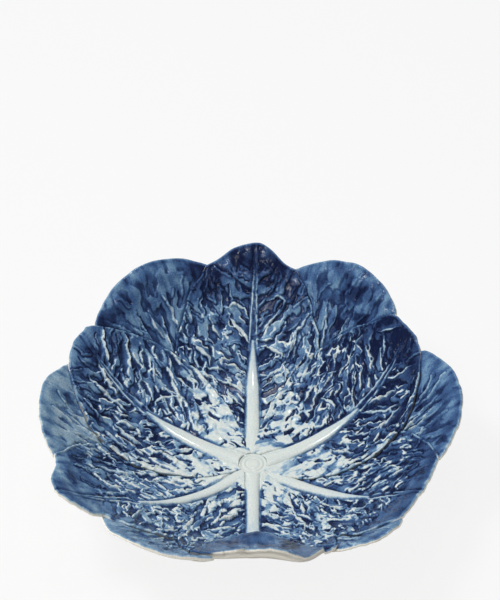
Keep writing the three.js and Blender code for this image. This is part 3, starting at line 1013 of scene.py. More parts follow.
    def crinkle(self, tooling: Tooling, spot: dict[str, float]) -> None:
        """Draw one crinkle, unless it comes too close to another ridge.

        Args:
            tooling: Tool that draws it.
            spot: Values of the grid where it starts.
        """
        random, radius = tooling.random, spot["radius"]
        lean = math.copysign(float(self.lean(abs(spot["aside"]))), spot["aside"])
        length = random.uniform(4.0, 19.0) * np.interp(radius, *self.CRINKLE_LENGTH)
        zigzag = random.uniform(0.0, 26.0)
        path = tooling.walk(radius, spot["heading"], lean + random.normal(0.0, 17.0), length, 10.0, zigzag)
        if not tooling.free(path, np.interp(radius, *self.CRINKLE_GAP)):
            return
        tooling.taken.append(path[::2])
        taper = np.interp(np.arange(len(path)), (0, len(path) - 1), random.uniform(0.3, 1.3, 2))
        bare = np.interp(radius, *self.CRINKLE_BARE) * random.uniform(0.2, 1.1)
        half = random.uniform(0.4, 1.2) * taper
        rise = random.uniform(0.7, 1.3)
        tooling.ridge(path, half, rise, min(bare, 1.0), 1.4 * (random.random() < 0.07))

    def beside_seam(self, place: Marks, width: float) -> Array:
        """Ground beside the leaf's seams, where it lies over its neighbours."""
        radius = place["radius"]
        band = swell(place["to_edge"], width) * smooth(118.0, 100.0, radius) * smooth(26.0, 40.0, radius)
        return band * self.lap.value * self.seam_white

    def plates(self, place: Marks) -> Array:
        """Crumpled plates of the blade: above 0 on a plate, below 0 in the grooves between them."""
        radius, run, aside = place["radius"], place["run"], place["aside"]
        broad, fine = (aside / 8.0, run / 8.0), (aside / 3.2, run / 3.2)
        swirl = 2.2 * self.grain(24).at(*broad) + 0.6 * self.grain(25).at(*fine)
        drift = 2.2 * self.grain(26).at(*broad) + 0.6 * self.grain(27).at(*fine)
        along, away = run + swirl, aside + np.sign(aside) * np.maximum(drift, -np.abs(aside))
        plate = self.weave(13, along, away, 4.8, 19.0) + 0.34 * self.weave(14, along, away, 2.4, 8.0)
        plate = plate + 0.3 * self.beside_seam(place, 6.0)
        bias = np.interp(radius, *self.PLATE_BIAS)
        return plate + bias + self.whiteness * smooth(95.0, 70.0, radius) * smooth(17.0, 30.0, radius)

    def relief(self, place: Marks) -> tuple[Array, Marks]:
        """Height of the leaf's ribs, veins and crinkles, and the marks that the glaze reads.

        Args:
            place: Places of the grid points.

        Returns:
            Heights over the smooth bowl, and the marks by name.
        """
        radius, run, aside = place["radius"], place["run"], place["aside"]
        to_edge, to_rim = place["to_edge"], place["to_rim"]
        far = np.abs(aside)
        made = self.tool(place).marks()
        ridge, wiped, shade = made["ridge"], made["wiped"], made["shade"]
        pit, steady = made["pit"], made["steady"]

        # Stout rib, and the vein with two lips that runs on from its end
        fuzz = 0.5 * self.grain(18).at(aside / 2.5, run / 5.0)
        half = self.rib_half(radius)
        on_rib = smooth(self.rib_end + 0.5, self.rib_end - 1.5, radius)
        dome = np.sqrt(np.clip(1.0 - (far / half) ** 2, 0.0, 1.0)) * on_rib
        rib_height = np.interp(radius, (12.0, 60.0, self.rib_end), (2.2, 2.4, 0.9))
        channel = np.interp(radius, (self.rib_end - 14.0, self.rib_end + 6.0, self.vein_end), (3.2, 2.6, 1.0))
        past = smooth(self.rib_end - 16.0, self.rib_end + 2.0, radius)
        past = past * smooth(self.vein_end + 6.0, self.vein_end - 14.0, radius)
        patchy = smooth(-0.5, 0.1, self.grain(19).at(aside / 4.0, run / 7.0) + 0.2)
        lips = swell(far + fuzz - channel, 0.85) * past * patchy
        gutter = np.where(radius < self.rib_end, half, channel)
        clear = smooth(gutter + 0.2, gutter + 1.8, far)

        # Plates of the blade, and where the glaze is wiped off them
        plate = self.plates(place)
        inward, climb, _ = self.inward(plate, place)
        upper = smooth(0.12, -0.12, climb)
        plain = smooth(self.plain_from - 4.0, self.plain_from + 8.0, radius)
        near_rim = np.maximum(smooth(26.0, 8.0, to_rim), plain)
        beside_seam = self.beside_seam(place, 7.0)
        reach = np.interp(radius, *self.FILL_REACH) + 0.9 * beside_seam
        broken = smooth(-0.35, 0.15, self.grain(21).at(aside / 9.0, run / 11.0) + 0.12)
        strength = np.interp(radius, *self.WIPED) * mix(0.4, 1.0, broken)
        width = mix(0.5, 2.4, smooth(-0.5, 0.7, self.grain(28).at(aside / 6.0, run / 8.0)))
        raised = smooth(-0.6, 0.5, inward)
        edge = smooth(-0.25, 0.12, inward) * smooth(width + 0.45, width - 0.25, inward) * mix(0.4, 1.0, upper)
        # Dark foot outside each plate's edge: painted shade, laid together with pooled glaze; pale edges are
        # stronger on the side towards the rim and dark feet on the side towards the stalk
        foot = swell(inward + 0.8, 0.55) * mix(1.0, 0.55, upper)
        cloud = self.grain(31).at(aside / 5.0, run / 6.0) + 0.4 * self.grain(32).at(aside / 2.0, run / 2.0)
        cloud = smooth(-0.55, 0.45, cloud)
        fill = np.maximum(smooth(reach + 0.16, reach - 0.06, plate), 0.75 * smooth(85.0, 50.0, radius))
        fill = smooth(-0.04, 0.12, plate) * fill * mix(0.82, 1.0, upper) * mix(0.66, 1.0, cloud)
        open_ground = mix(1.0, smooth(gutter + 0.6, gutter + 3.0, far), smooth(20.0, 34.0, radius))
        open_ground = open_ground * (1.0 - pit) * strength * (1.0 - near_rim)
        wash = np.maximum(smooth(0.22, 0.62, edge * open_ground), smooth(0.05, 0.85, fill * open_ground))

        # Heights, with the folded tip of a leaf that has one
        lip = swell(to_edge, 1.4) * smooth(40.0, 70.0, radius)
        fine_lump = 0.4 * self.grain(16).at(aside / 4.0, run / 4.0) * (1.0 - 0.85 * near_rim)
        lump = 0.6 * self.grain(15).at(aside / 9.0, run / 9.0) + fine_lump
        ripple = self.grain(10).at(aside / 6.0, run / 30.0)
        crumple = (1.2 * raised + 0.5 * np.clip(plate, -1.0, 1.0)) * (1.0 - 0.85 * near_rim)
        height = (0.8 * ridge + crumple) * clear
        height = height + 0.5 * lump - 0.8 * pit * clear
        height = height + 0.3 * ripple * near_rim + 0.7 * lip + 0.9 * lips
        under_rib = np.maximum(height * smooth(0.0, 0.6, far / half), rib_height * dome)
        height = mix(height, under_rib, on_rib)
        height = height - 0.5 * swell(far - gutter - 1.2, 1.1) * smooth(28.0, 45.0, radius)
        inside = smooth(self.bowl.parting_radius + 4.0, self.bowl.parting_radius - 4.0, radius)
        # Tucked: where the leaf lies under its neighbour its edge dips, and further down its tone is darkened
        # there as painted shade under the lapping edge, with pooled glaze
        tucked = swell(to_edge, 2.6) * inside * smooth(24.0, 45.0, radius) * (self.lap is Lap.UNDER)
        height = height - tucked - self.rolled(to_rim)
        crease = radius - self.fold_radius - 0.022 * aside**2
        crease = crease - 1.8 * self.grain(23).at(aside / 8.0, run / 40.0)
        folded = smooth(-0.8, 0.8, crease) * (self.fold_radius > 0.0)
        wrinkle = self.grain(29).at(aside / 7.0, run / 30.0)
        wrinkle = wrinkle + 0.5 * self.grain(30).at(aside / 3.5, run / 16.0)
        peak = 3.4 * np.clip(1.0 - np.abs(aside - 3.0) / 17.0, 0.0, 1.0) * smooth(26.0, 4.0, crease)
        height = mix(height, 1.8 + peak + 0.3 * lump + 0.6 * wrinkle, folded)

        # Tones, from the darkest blue to bare white
        margin = np.where(aside < 0.0, *self.margin_bare)
        margin = margin * smooth(-0.4, 0.2, self.grain(20).at(aside / 7.0, run / 7.0) + 0.1)
        bare = np.maximum(wiped * clear * (1.0 - pit) * mix(0.45, 1.0, broken), wash)
        bare = np.maximum(bare, 0.95 * steady * clear)
        bare = np.maximum(bare, 0.85 * lips * smooth(self.vein_end + 5.0, self.vein_end - 22.0, radius))
        bare = np.maximum(bare, margin * lip * smooth(160.0, 135.0, radius)) * (1.0 - tucked)
        root = 6.0 * smooth(32.0, 15.0, radius)
        stalk = smooth(half + root + 1.9, half + root - 1.6, far + fuzz) * on_rib
        bare = np.maximum(bare, stalk * np.interp(radius, (50.0, self.rib_end), (1.0, 0.86)))
        pool = self.pooled(height)
        pale = smooth(-0.1, 0.6, self.grain(22).at(aside / 12.0, run / 16.0))
        pale = pale * np.interp(radius, *self.PALE_WASH)
        tone = self.tone + 0.24 * self.grain(11).at(aside / 17.0, run / 17.0) + 0.1 * raised
        tone = tone + 0.12 * beside_seam
        rim_tone = self.rim_tone + 0.22 * self.grain(17).at(aside / 15.0, run / 11.0) + 0.1 * ripple
        tone = mix(tone + pale, rim_tone, np.maximum(smooth(34.0, 12.0, to_rim), near_rim))
        # Darker band along both sides of the rib: painted shade at the rib's foot, with glaze pooled in the
        # groove there
        tone = tone - 0.14 * swell(far - gutter - 1.5, 2.0) * smooth(30.0, 45.0, radius)
        # Dark feet and grooves of the plates, and the ridges' dark feet: painted shade, laid together with
        # glaze pooled in the hollows
        groove = smooth(0.0, -0.5, plate)
        dark = np.maximum(0.48 * foot, 0.16 * groove) * (1.0 - near_rim)
        dark = np.maximum(dark, 0.6 * shade * clear)
        stain = self.stain(place)
        tone = tone - self.STAIN_DARK * stain - np.maximum(0.3 * pool, dark) - 0.45 * tucked
        tone = self.wipe(tone, bare)
        fold_tone = rim_tone + 0.14 * wrinkle - 0.4 * stain
        tone = mix(tone, fold_tone + 0.3 * swell(crease - 1.0, 0.7), folded)
        # Dark line at the foot of the folded tip: painted shade under the fold
        tone = tone - 0.5 * swell(crease + 1.4, 1.0) * (self.fold_radius > 0.0)
        tone = self.wipe_rim(tone, place)
        return height, {"tone": tone, "across": aside, "along": run}

    def skin(self) -> LeafSkin:
        """Fine skin of the leaf with its relief."""
        bowl = self.bowl
        place = self.grid(self.rows, self.columns)
        height, marks = self.relief(place)
        normal = bowl.normals(place["radius"], place["heading"])
        step = self.lap.value * mix(1.0, 0.3, smooth(105.0, 138.0, place["radius"]))
        upper = bowl.points(place["radius"], place["heading"]) + normal * (height + step)[..., None]
        on_rim = smooth(9.0, 0.5, place["to_rim"])
        half_edge = mix(self.side_half_edge, self.rim_half_edge, on_rim)
        rough = self.grid((self.rows - 1) // self.coarse + 1, (self.columns - 1) // self.coarse + 1)
        radius = rough["radius"]
        wall = mix(2.0 * self.side_half_edge, self.wall, smooth(0.0, 14.0, rough["to_edge"]))
        wall = mix(2.0 * self.rim_half_edge, wall, smooth(0.0, 12.0, rough["to_rim"]))
        wall = np.where(radius < bowl.lap_start, self.floor_wall, wall)
        lower = bowl.points(radius, rough["heading"]) - self.through(rough) * wall[..., None]
        name = self.name.replace("inner", "veined")
        covered = np.zeros_like(on_rim)
        through = self.through(place)
        return LeafSkin(name, upper, through, lower, half_edge, self.coarse, on_rim, covered, marks)


@dataclass(kw_only=True)
class OuterLeaf(Leaf):
    """Leaf that shows behind the parting of two inner leaves, up to its own lobe of the rim."""

    seam: Seam
    tuck: tuple[float, float] = (1.0, 1.0)
    folded: float = 0.0
    fan_start: float = 60.0
    fan_width: float = 80.0
    tries: int = 60
    vein_gap: float = 4.5
    rows: int = 161
    columns: int = 161
    sink: float = 1.6
    rise: float = 1.6
    lap_width: float = 6.5
    side_half_edge: float = 0.6
    wall: float = 3.4

    # Values by radius
    VEIN_BARE = ((110.0, 130.0, 148.0), (0.85, 0.6, 0.2))
    CREST_BARE = ((105.0, 130.0, 150.0), (0.85, 0.6, 0.1))

    def rim(self, across: Array) -> Array:
        """Radius of the rim across the leaf, with its small waves; it draws in behind the inner leaves."""
        bowl = self.bowl
        before = bowl.rim_radius - self.seam.first_sink
        after = bowl.rim_radius - self.seam.next_sink
        span = math.radians(self.seam.next_notch - self.seam.first_notch) * bowl.rim_radius / 2.0
        place = across * (1.0 + self.lap_width / span)
        inner = np.clip(place, -1.0, 1.0)
        outline = self.lobe(inner, before, after, bowl.rim_radius + self.reach, self.fullness)
        wave = self.grain(1).at(place * 3.4, np.full_like(place, 0.4)) * 0.9 * smooth(1.0, 0.7, np.abs(inner))
        beyond = np.clip((np.abs(place) - 1.0) * span + np.where(place < 0.0, *self.tuck), 0.0, None)
        return outline + wave - np.minimum(0.35 * beyond**2, 24.0) - self.rim_half_edge

    def grid(self, rows: int, columns: int) -> Marks:
        """Places of the leaf's grid points.

        Args:
            rows: Number of rows, from below the parting outwards.
            columns: Number of columns, anticlockwise.

        Returns:
            Radius, heading, distances into the open blade, to the rim and from the middle, run along the wall
            and share of the way across the open blade.
        """
        bowl = self.bowl
        shares = np.linspace(0.0, 1.0, rows), np.linspace(-1.0, 1.0, columns)
        out, across = np.meshgrid(*shares, indexing="ij")
        start = bowl.lap_start + 1.0
        part = 0.28
        rim = self.rim(across)
        floor = mix(start, bowl.parting_radius, np.clip(out / part, 0.0, 1.0))
        radius = floor + (rim - bowl.parting_radius) * np.clip((out - part) / (1.0 - part), 0.0, 1.0)
        low = self.seam.first_edge(bowl, radius)
        high = self.seam.next_edge(bowl, radius)
        turn = np.degrees(self.lap_width / radius)
        heading = mix(low - turn, high + turn, (across + 1.0) / 2.0)
        to_edge = np.radians(np.minimum(heading - low, high - heading)) * radius
        run = bowl.run(radius)
        return {
            "radius": radius,
            "heading": heading,
            "to_edge": to_edge,
            "to_rim": bowl.run(rim) - run,
            "aside": np.radians(heading - self.seam.parting_heading) * radius,
            "run": run,
            "share": np.clip((heading - low) / np.maximum(high - low, 1e-3), 0.0, 1.0),
        }

    def tool(self, place: Marks) -> Tooling:
        """Draw the long veins that fan out to the rim.

        Args:
            place: Places of the grid points.

        Returns:
            The tool with its marks.
        """
        tooling = Tooling(self.bowl, place["radius"], place["heading"], self.seed)
        random = tooling.random
        for vein in self.veins:
            tooling.draw(vein)
        for spot in self.spots(place, tooling, self.tries):
            if spot["to_rim"] < 20.0 or spot["to_edge"] < 1.5:
                continue
            lean = np.clip(spot["aside"] * 0.8, -25.0, 25.0) + random.normal(0.0, 10.0)
            length = random.uniform(6.0, 24.0)
            fold = tooling.walk(spot["radius"], spot["heading"], lean, length, 6.0, random.uniform(0.0, 14.0))
            if not tooling.free(fold, self.vein_gap):
                continue
            tooling.taken.append(fold[::2])
            half = random.uniform(0.6, 1.2) * random.uniform(0.8, 1.15, len(fold))
            strong = np.interp(spot["radius"], *self.VEIN_BARE) * random.uniform(0.4, 1.1)
            tooling.ridge(fold, half, random.uniform(0.5, 1.0), min(strong, 1.0))
        return tooling

    def relief(self, place: Marks) -> tuple[Array, Marks]:
        """Height of the leaf's long veins, and the marks that the glaze reads.

        Args:
            place: Places of the grid points.

        Returns:
            Heights over the smooth bowl, and the marks by name.
        """
        radius, run, aside = place["radius"], place["run"], place["aside"]
        to_edge, to_rim = place["to_edge"], place["to_rim"]
        made = self.tool(place).marks()
        ridge, wiped, shade = made["ridge"], made["wiped"], made["shade"]
        near_rim = smooth(30.0, 10.0, to_rim) * mix(1.0, smooth(12.0, 4.0, to_rim), self.folded)
        ripple = self.grain(6).at(aside / 6.0, run / 34.0)
        lump = 0.6 * self.grain(9).at(aside / 6.0, run / 15.0)
        lump = lump + 0.25 * self.grain(11).at(aside / 3.0, run / 6.0)
        drift = 1.4 * self.grain(13).at(aside / 7.0, run / 9.0)
        drift = drift + 0.5 * self.grain(14).at(aside / 3.0, run / 4.0)
        fan = self.fan_width * np.arctan2(aside, run - self.bowl.run(self.fan_start)) + drift
        fold = self.grain(7).at(fan / 6.5, run / 26.0) + 0.35 * self.grain(8).at(fan / 3.2, run / 11.0) + 0.05
        inward, _, turn = self.inward(fold, place)
        width = mix(0.5, 1.8, smooth(-0.5, 0.6, self.grain(16).at(aside / 6.0, run / 9.0)))
        raised = smooth(-0.6, 0.5, inward)
        crest = smooth(-0.25, 0.12, inward) * smooth(width + 0.45, width - 0.25, inward)
        crest = crest * mix(0.35, 1.0, smooth(-0.1, 0.1, turn))
        # Dark feet beside the folds: painted shade, with pooled glaze
        groove = np.maximum(swell(inward + 1.0, 0.8), 0.5 * smooth(0.0, -0.5, fold))
        height = ridge + (1.1 * raised + 0.4 * fold) * (1.0 - 0.8 * near_rim)
        height = height + lump * mix(0.5, 0.6, near_rim) + 0.35 * ripple * near_rim
        parting = self.bowl.parting_radius
        climb = np.clip((radius - parting) / (self.bowl.rim_radius - parting), 0.0, 1.0)
        height = height * smooth(-1.0, 4.0, to_edge) + self.rise * climb * np.sin(np.pi * place["share"]) ** 2
        height = height - mix(self.sink, 0.5, climb) - 0.22 * np.clip(-to_edge, 0.0, 20.0)
        height = height - self.rolled(to_rim)
        # Dark band along the edges where the inner leaves lie over this one: painted shade in that corner,
        # with pooled glaze
        corner = swell(np.clip(to_edge, 0.0, 99.0), 2.2)
        pool = self.pooled(height)
        dark = np.maximum(np.maximum(pool, shade), np.maximum(0.9 * corner, groove * (1.0 - near_rim)))
        tone = self.tone + 0.2 * fold + 0.14 * self.grain(15).at(aside / 14.0, run / 14.0)
        rim_tone = self.rim_tone + 0.22 * self.grain(10).at(aside / 15.0, run / 11.0) + 0.1 * ripple
        tone = mix(tone, rim_tone, smooth(34.0, 12.0, to_rim))
        tone = tone - self.STAIN_DARK * self.stain(place) - 0.28 * dark
        broken = smooth(-0.45, 0.15, self.grain(12).at(aside / 5.0, run / 8.0) + 0.1)
        strength = np.interp(radius, *self.CREST_BARE) * (1.0 - near_rim)
        bare = np.maximum(wiped, strength * crest) * (1.0 - corner) * mix(0.35, 1.0, broken)
        tone = self.wipe(tone, bare)
        tone = self.wipe_rim(tone, place)
        return height, {"tone": tone, "across": aside, "along": run}

    def skin(self) -> LeafSkin:
        """Fine skin of the leaf with its relief."""
        bowl = self.bowl
        place = self.grid(self.rows, self.columns)
        height, marks = self.relief(place)
        normal = bowl.normals(place["radius"], place["heading"])
        upper = bowl.points(place["radius"], place["heading"]) + normal * height[..., None]
        on_rim = smooth(9.0, 0.5, place["to_rim"])
        half_edge = mix(self.side_half_edge, self.rim_half_edge, on_rim)
        rough = self.grid((self.rows - 1) // self.coarse + 1, (self.columns - 1) // self.coarse + 1)
        low_height, _ = self.relief(rough)
        wall = mix(2.0 * self.rim_half_edge, self.wall, smooth(0.0, 12.0, rough["to_rim"]))
        wall = wall * mix(0.35, 1.0, smooth(-4.0, 3.0, rough["to_edge"]))
        sunk = np.minimum(low_height - 0.2, -0.8) - wall
        lower = bowl.points(rough["radius"], rough["heading"]) + self.through(rough) * sunk[..., None]
        name = self.name.replace("outer", "plain")
        covered = smooth(-1.5, -3.0, place["to_edge"])
        through = self.through(place)
        return LeafSkin(name, upper, through, lower, half_edge, self.coarse, on_rim, covered, marks)


class Wire:
    """Socket of a shader, on which plain arithmetic adds Math nodes."""

    def __init__(self, shader: "Shader", socket: bpy.types.NodeSocket) -> None:
        """Keep the shader and the socket."""
        self.shader = shader
        self.socket = socket

    def _math(self, operation: str, first: Any, second: Any = 0.0) -> "Wire":
        """Result of one Math node."""
        return self.shader.node("ShaderNodeMath", {"operation": operation}, {0: first, 1: second})

    def __add__(self, other: Any) -> "Wire":
        """Sum."""
        return self._math("ADD", self, other)

    __radd__ = __add__

    def __sub__(self, other: Any) -> "Wire":
        """Difference."""
        return self._math("SUBTRACT", self, other)

    def __rsub__(self, other: Any) -> "Wire":
        """Difference from a number."""
        return self._math("SUBTRACT", other, self)

    def __mul__(self, other: Any) -> "Wire":
        """Product."""
        return self._math("MULTIPLY", self, other)

    __rmul__ = __mul__

    def limited(self) -> "Wire":
        """Value kept between 0 and 1."""
        return self.shader.node("ShaderNodeClamp", {}, {0: self, 1: 0.0, 2: 1.0})

    def span(self, low: float, high: float) -> "Wire":
        """Straight rise from 0 at low to 1 at high."""
        return self.shader.node("ShaderNodeMapRange", {}, {0: self, 1: low, 2: high, 3: 0.0, 4: 1.0})

    def step(self, low: float, high: float) -> "Wire":
        """Soft step from 0 at low to 1 at high."""
        settings = {"interpolation_type": "SMOOTHSTEP"}
        return self.shader.node("ShaderNodeMapRange", settings, {0: self, 1: low, 2: high, 3: 0.0, 4: 1.0})


class Shader:
    """Node tree of a material or a world."""

    def __init__(self, owner: bpy.types.Material | bpy.types.World) -> None:
        """Start the owner's tree afresh."""
        self.owner = owner
        owner.use_nodes = True
        self.tree = owner.node_tree
        self.tree.nodes.clear()

    def node(self, kind: str, settings: dict[str, Any], inputs: dict[Any, Any], output: Any = 0) -> Wire:
        """Add a node.

        Args:
            kind: Type of the node.
            settings: Properties to set first.
            inputs: Values or links of its sockets, by number or name.
            output: Socket to hand back.

        Returns:
            The chosen output.
        """
        made = self.tree.nodes.new(kind)
        for key, value in settings.items():
            setattr(made, key, value)
        for key, value in inputs.items():
            socket = made.inputs[key]
            if isinstance(value, Wire):
                self.tree.links.new(value.socket, socket)
            elif isinstance(value, tuple) and len(value) == 3 and socket.type == "RGBA":
                socket.default_value = (*value, 1.0)
            else:
                socket.default_value = value
        return Wire(self, made.outputs[output])

    def mark(self, name: str) -> Wire:
        """Number stored at the points of the mesh."""
        return self.node("ShaderNodeAttribute", {"attribute_name": name}, {}, "Fac")

    def noise(self, vector: Wire, scale: float, detail: float = 2.0, roughness: float = 0.5) -> Wire:
        """Noise from 0 to 1 at a vector."""
        inputs = {"Vector": vector, "Scale": scale, "Detail": detail, "Roughness": roughness}
        return self.node("ShaderNodeTexNoise", {}, inputs, "Fac")

    def blend(self, share: Any, first: Any, second: Any) -> Wire:
        """Colour between two colours."""
        settings = {"data_type": "RGBA", "blend_type": "MIX"}
        return self.node("ShaderNodeMix", settings, {0: share, 6: first, 7: second}, 2)

    def finish(self, surface: Wire) -> Any:
        """Link the surface to the output and hand the owner back."""
        target = "World" if isinstance(self.owner, bpy.types.World) else "Material"
        kind = f"ShaderNodeOutput{target}"
        made = self.tree.nodes.new(kind)
        self.tree.links.new(surface.socket, made.inputs["Surface"])
        return self.owner


@dataclass(frozen=True)
class LeafGlaze:
    """Brushed blue glaze over white clay: thin on the ridges, pooled in the hollows, cream on the back."""

    tones: tuple[tuple[float, Colour], ...] = (
        (0.0, linear(11, 22, 54)),
        (0.22, linear(36, 54, 91)),
        (0.45, linear(62, 92, 134)),
        (0.68, linear(112, 145, 173)),
        (0.85, linear(172, 191, 201)),
        (1.0, linear(204, 210, 205)),
        (1.25, linear(236, 238, 234)),
    )
    cream: Colour = linear(222, 216, 200)
    chalk: Colour = linear(232, 230, 222)
    roughness: float = 0.12
    rough_spread: float = 0.08
    brush_scale: tuple[float, float] = (0.3, 0.06)
    brush_strength: float = 0.24
    spot_scale: tuple[float, float] = (0.95, 0.8)
    spot_level: float = 3.1
    spot_strength: float = 0.42
    grain_scale: float = 420.0
    bump: float = 0.03
    bump_depth: float = 0.0006
    refraction: float = 1.5
    name: str = "leaf_glaze"

    def material(self) -> bpy.types.Material:
        """Material of the leaves, made once."""
        known = bpy.data.materials.get(self.name)
        if known:
            return known
        shader = Shader(bpy.data.materials.new(self.name))
        under, across, along = shader.mark("under"), shader.mark("across"), shader.mark("along")
        wide, long = self.brush_scale
        brush_at = shader.node("ShaderNodeCombineXYZ", {}, {0: across * wide, 1: along * long, 2: 0.0})
        brush = shader.noise(brush_at, 1.0, 4.0, 0.6)
        wide, long = self.spot_scale
        spot_at = shader.node(
            "ShaderNodeCombineXYZ", {}, {0: across * wide, 1: along * long, 2: self.spot_level}
        )
        spots = shader.noise(spot_at, 1.0, 3.0, 0.6)
        tone = shader.mark("tone") + (brush - 0.5) * self.brush_strength
        tone = tone + (spots - 0.5) * self.spot_strength
        colour: Any = self.tones[0][1]
        for (low, _), (high, shade) in zip(self.tones, self.tones[1:]):
            colour = shader.blend(tone.span(low, high), colour, shade)
        back = shader.blend(spots.step(0.35, 0.7), self.cream, self.chalk)
        colour = shader.blend(under.step(0.3, 0.8), colour, back)
        texture = shader.node("ShaderNodeTexCoord", {}, {}, "Object")
        fine = shader.noise(texture, self.grain_scale, 2.0)
        bumps = {"Strength": self.bump, "Distance": self.bump_depth, "Height": fine}
        bumped = shader.node("ShaderNodeBump", {}, bumps)
        rough = self.roughness + fine * self.rough_spread
        inputs = {"Base Color": colour, "Roughness": rough, "Normal": bumped, "IOR": self.refraction}
        return shader.finish(shader.node("ShaderNodeBsdfPrincipled", {}, inputs))


@dataclass(frozen=True)
class PlainGlaze:
    """Plain glaze with faint clouding, for the boss and for the parts underneath."""

    name: str
    light: Colour
    shade: Colour
    roughness: float
    cloud_scale: float = 60.0
    speck_share: float = 9.0
    speck_strength: float = 0.25
    rough_spread: float = 0.1
    bump: float = 0.15
    bump_depth: float = 0.0006
    refraction: float = 1.5

    def material(self) -> bpy.types.Material:
        """Material of the finish, made once."""
        known = bpy.data.materials.get(self.name)
        if known:
            return known
        shader = Shader(bpy.data.materials.new(self.name))
        texture = shader.node("ShaderNodeTexCoord", {}, {}, "Object")
        cloud = shader.noise(texture, self.cloud_scale, 4.0, 0.6)
        speck = shader.noise(texture, self.cloud_scale * self.speck_share, 2.0)
        colour = shader.blend(cloud.step(0.35, 0.7), self.light, self.shade)
        specks = (speck.step(0.68, 0.78) * self.speck_strength).limited()
        colour = shader.blend(specks, colour, self.shade)
        bumps = {"Strength": self.bump, "Distance": self.bump_depth, "Height": speck}
        bumped = shader.node("ShaderNodeBump", {}, bumps)
        rough = self.roughness + cloud * self.rough_spread
        inputs = {"Base Color": colour, "Roughness": rough, "Normal": bumped, "IOR": self.refraction}
        return shader.finish(shader.node("ShaderNodeBsdfPrincipled", {}, inputs))


@dataclass
class Turned:
    """Piece turned about the stalk's axis.

    Args:
        name: Name of the piece.
        node: Solid in whose place it stands.
        profile: Closed profile, as radius and height.
        finish: Finish of the piece.
        slot: Material slot; not used.
        segments: Number of faces round it.
    """

    name: str
    node: str
    profile: Sequence[tuple[float, float]]
    finish: PlainGlaze
    slot: Slot
    segments: int = 160

    def build(self, shift: Vector) -> bpy.types.Object:
        """Make the piece and set it in place of its solid.

        Args:
            shift: Place of the stalk's foot in the part's frame, in metres.

        Returns:
            The new object.
        """
        turns = np.linspace(0.0, 2.0 * np.pi, self.segments, endpoint=False)
        verts: list[tuple[float, float, float]] = []
        rings: list[list[int]] = []
        for radius, height in self.profile:
            if radius < TINY:
                rings.append([len(verts)] * self.segments)
                verts.append((0.0, 0.0, height))
            else:
                rings.append(list(range(len(verts), len(verts) + self.segments)))
                verts += [(radius * math.cos(t), radius * math.sin(t), height) for t in turns]
        faces = []
        for lower, upper in zip(rings, rings[1:]):
            for number in range(self.segments):
                after = (number + 1) % self.segments
                corners = (lower[number], lower[after], upper[after], upper[number])
                face = tuple(dict.fromkeys(corners))
                if len(face) > 2:
                    faces.append(face)
        mesh = bpy.data.meshes.new(self.name)
        mesh.from_pydata((np.array(verts) * MM + np.array(shift)).tolist(), [], faces)
        mesh.polygons.foreach_set("use_smooth", np.ones(len(mesh.polygons), dtype=bool))
        mesh.update()
        piece = bpy.data.objects.new(self.name, mesh)
        bpy.context.scene.collection.objects.link(piece)
        mesh.materials.append(self.finish.material())
        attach(piece, BODY)
        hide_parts(self.node)
        log.info("%s: %d faces", piece.name, len(faces))
        return piece


@dataclass
class StalkBoss:
    """Button at the middle of the floor: the stalk's cut end, with two shallow rings."""

    bowl: Bowl
    radius: float = 11.75
    crown: float = 1.7
    seat: float = 10.9
    shoulder: float = 9.5
    drop: float = 1.0
    rings: tuple[tuple[float, float, float], ...] = ((0.6, 8.6, 0.9), (0.4, 5.4, 0.8))
    steps: int = 46
    segments: int = 96

    def build(self, shift: Vector, finish: PlainGlaze) -> bpy.types.Object:
        """Make the boss.

        Args:
            shift: Place of the stalk's foot in the part's frame, in metres.
            finish: Finish of the boss.

        Returns:
            The new object.
        """
        top = self.bowl.floor_height + self.crown
        radii = np.linspace(self.radius, 0.0, self.steps)
        dip = sum(depth * swell(radii - place, width) for depth, place, width in self.rings)
        crown = top - self.drop * smooth(self.shoulder, self.radius, radii) ** 2 - dip
        profile = [(0.0, self.seat), (self.radius, self.seat)]
        profile += [(float(r), float(z)) for r, z in zip(radii, crown)]
        return Turned("stalk_button", "stalk_boss", profile, finish, Slot.WHITE, self.segments).build(shift)


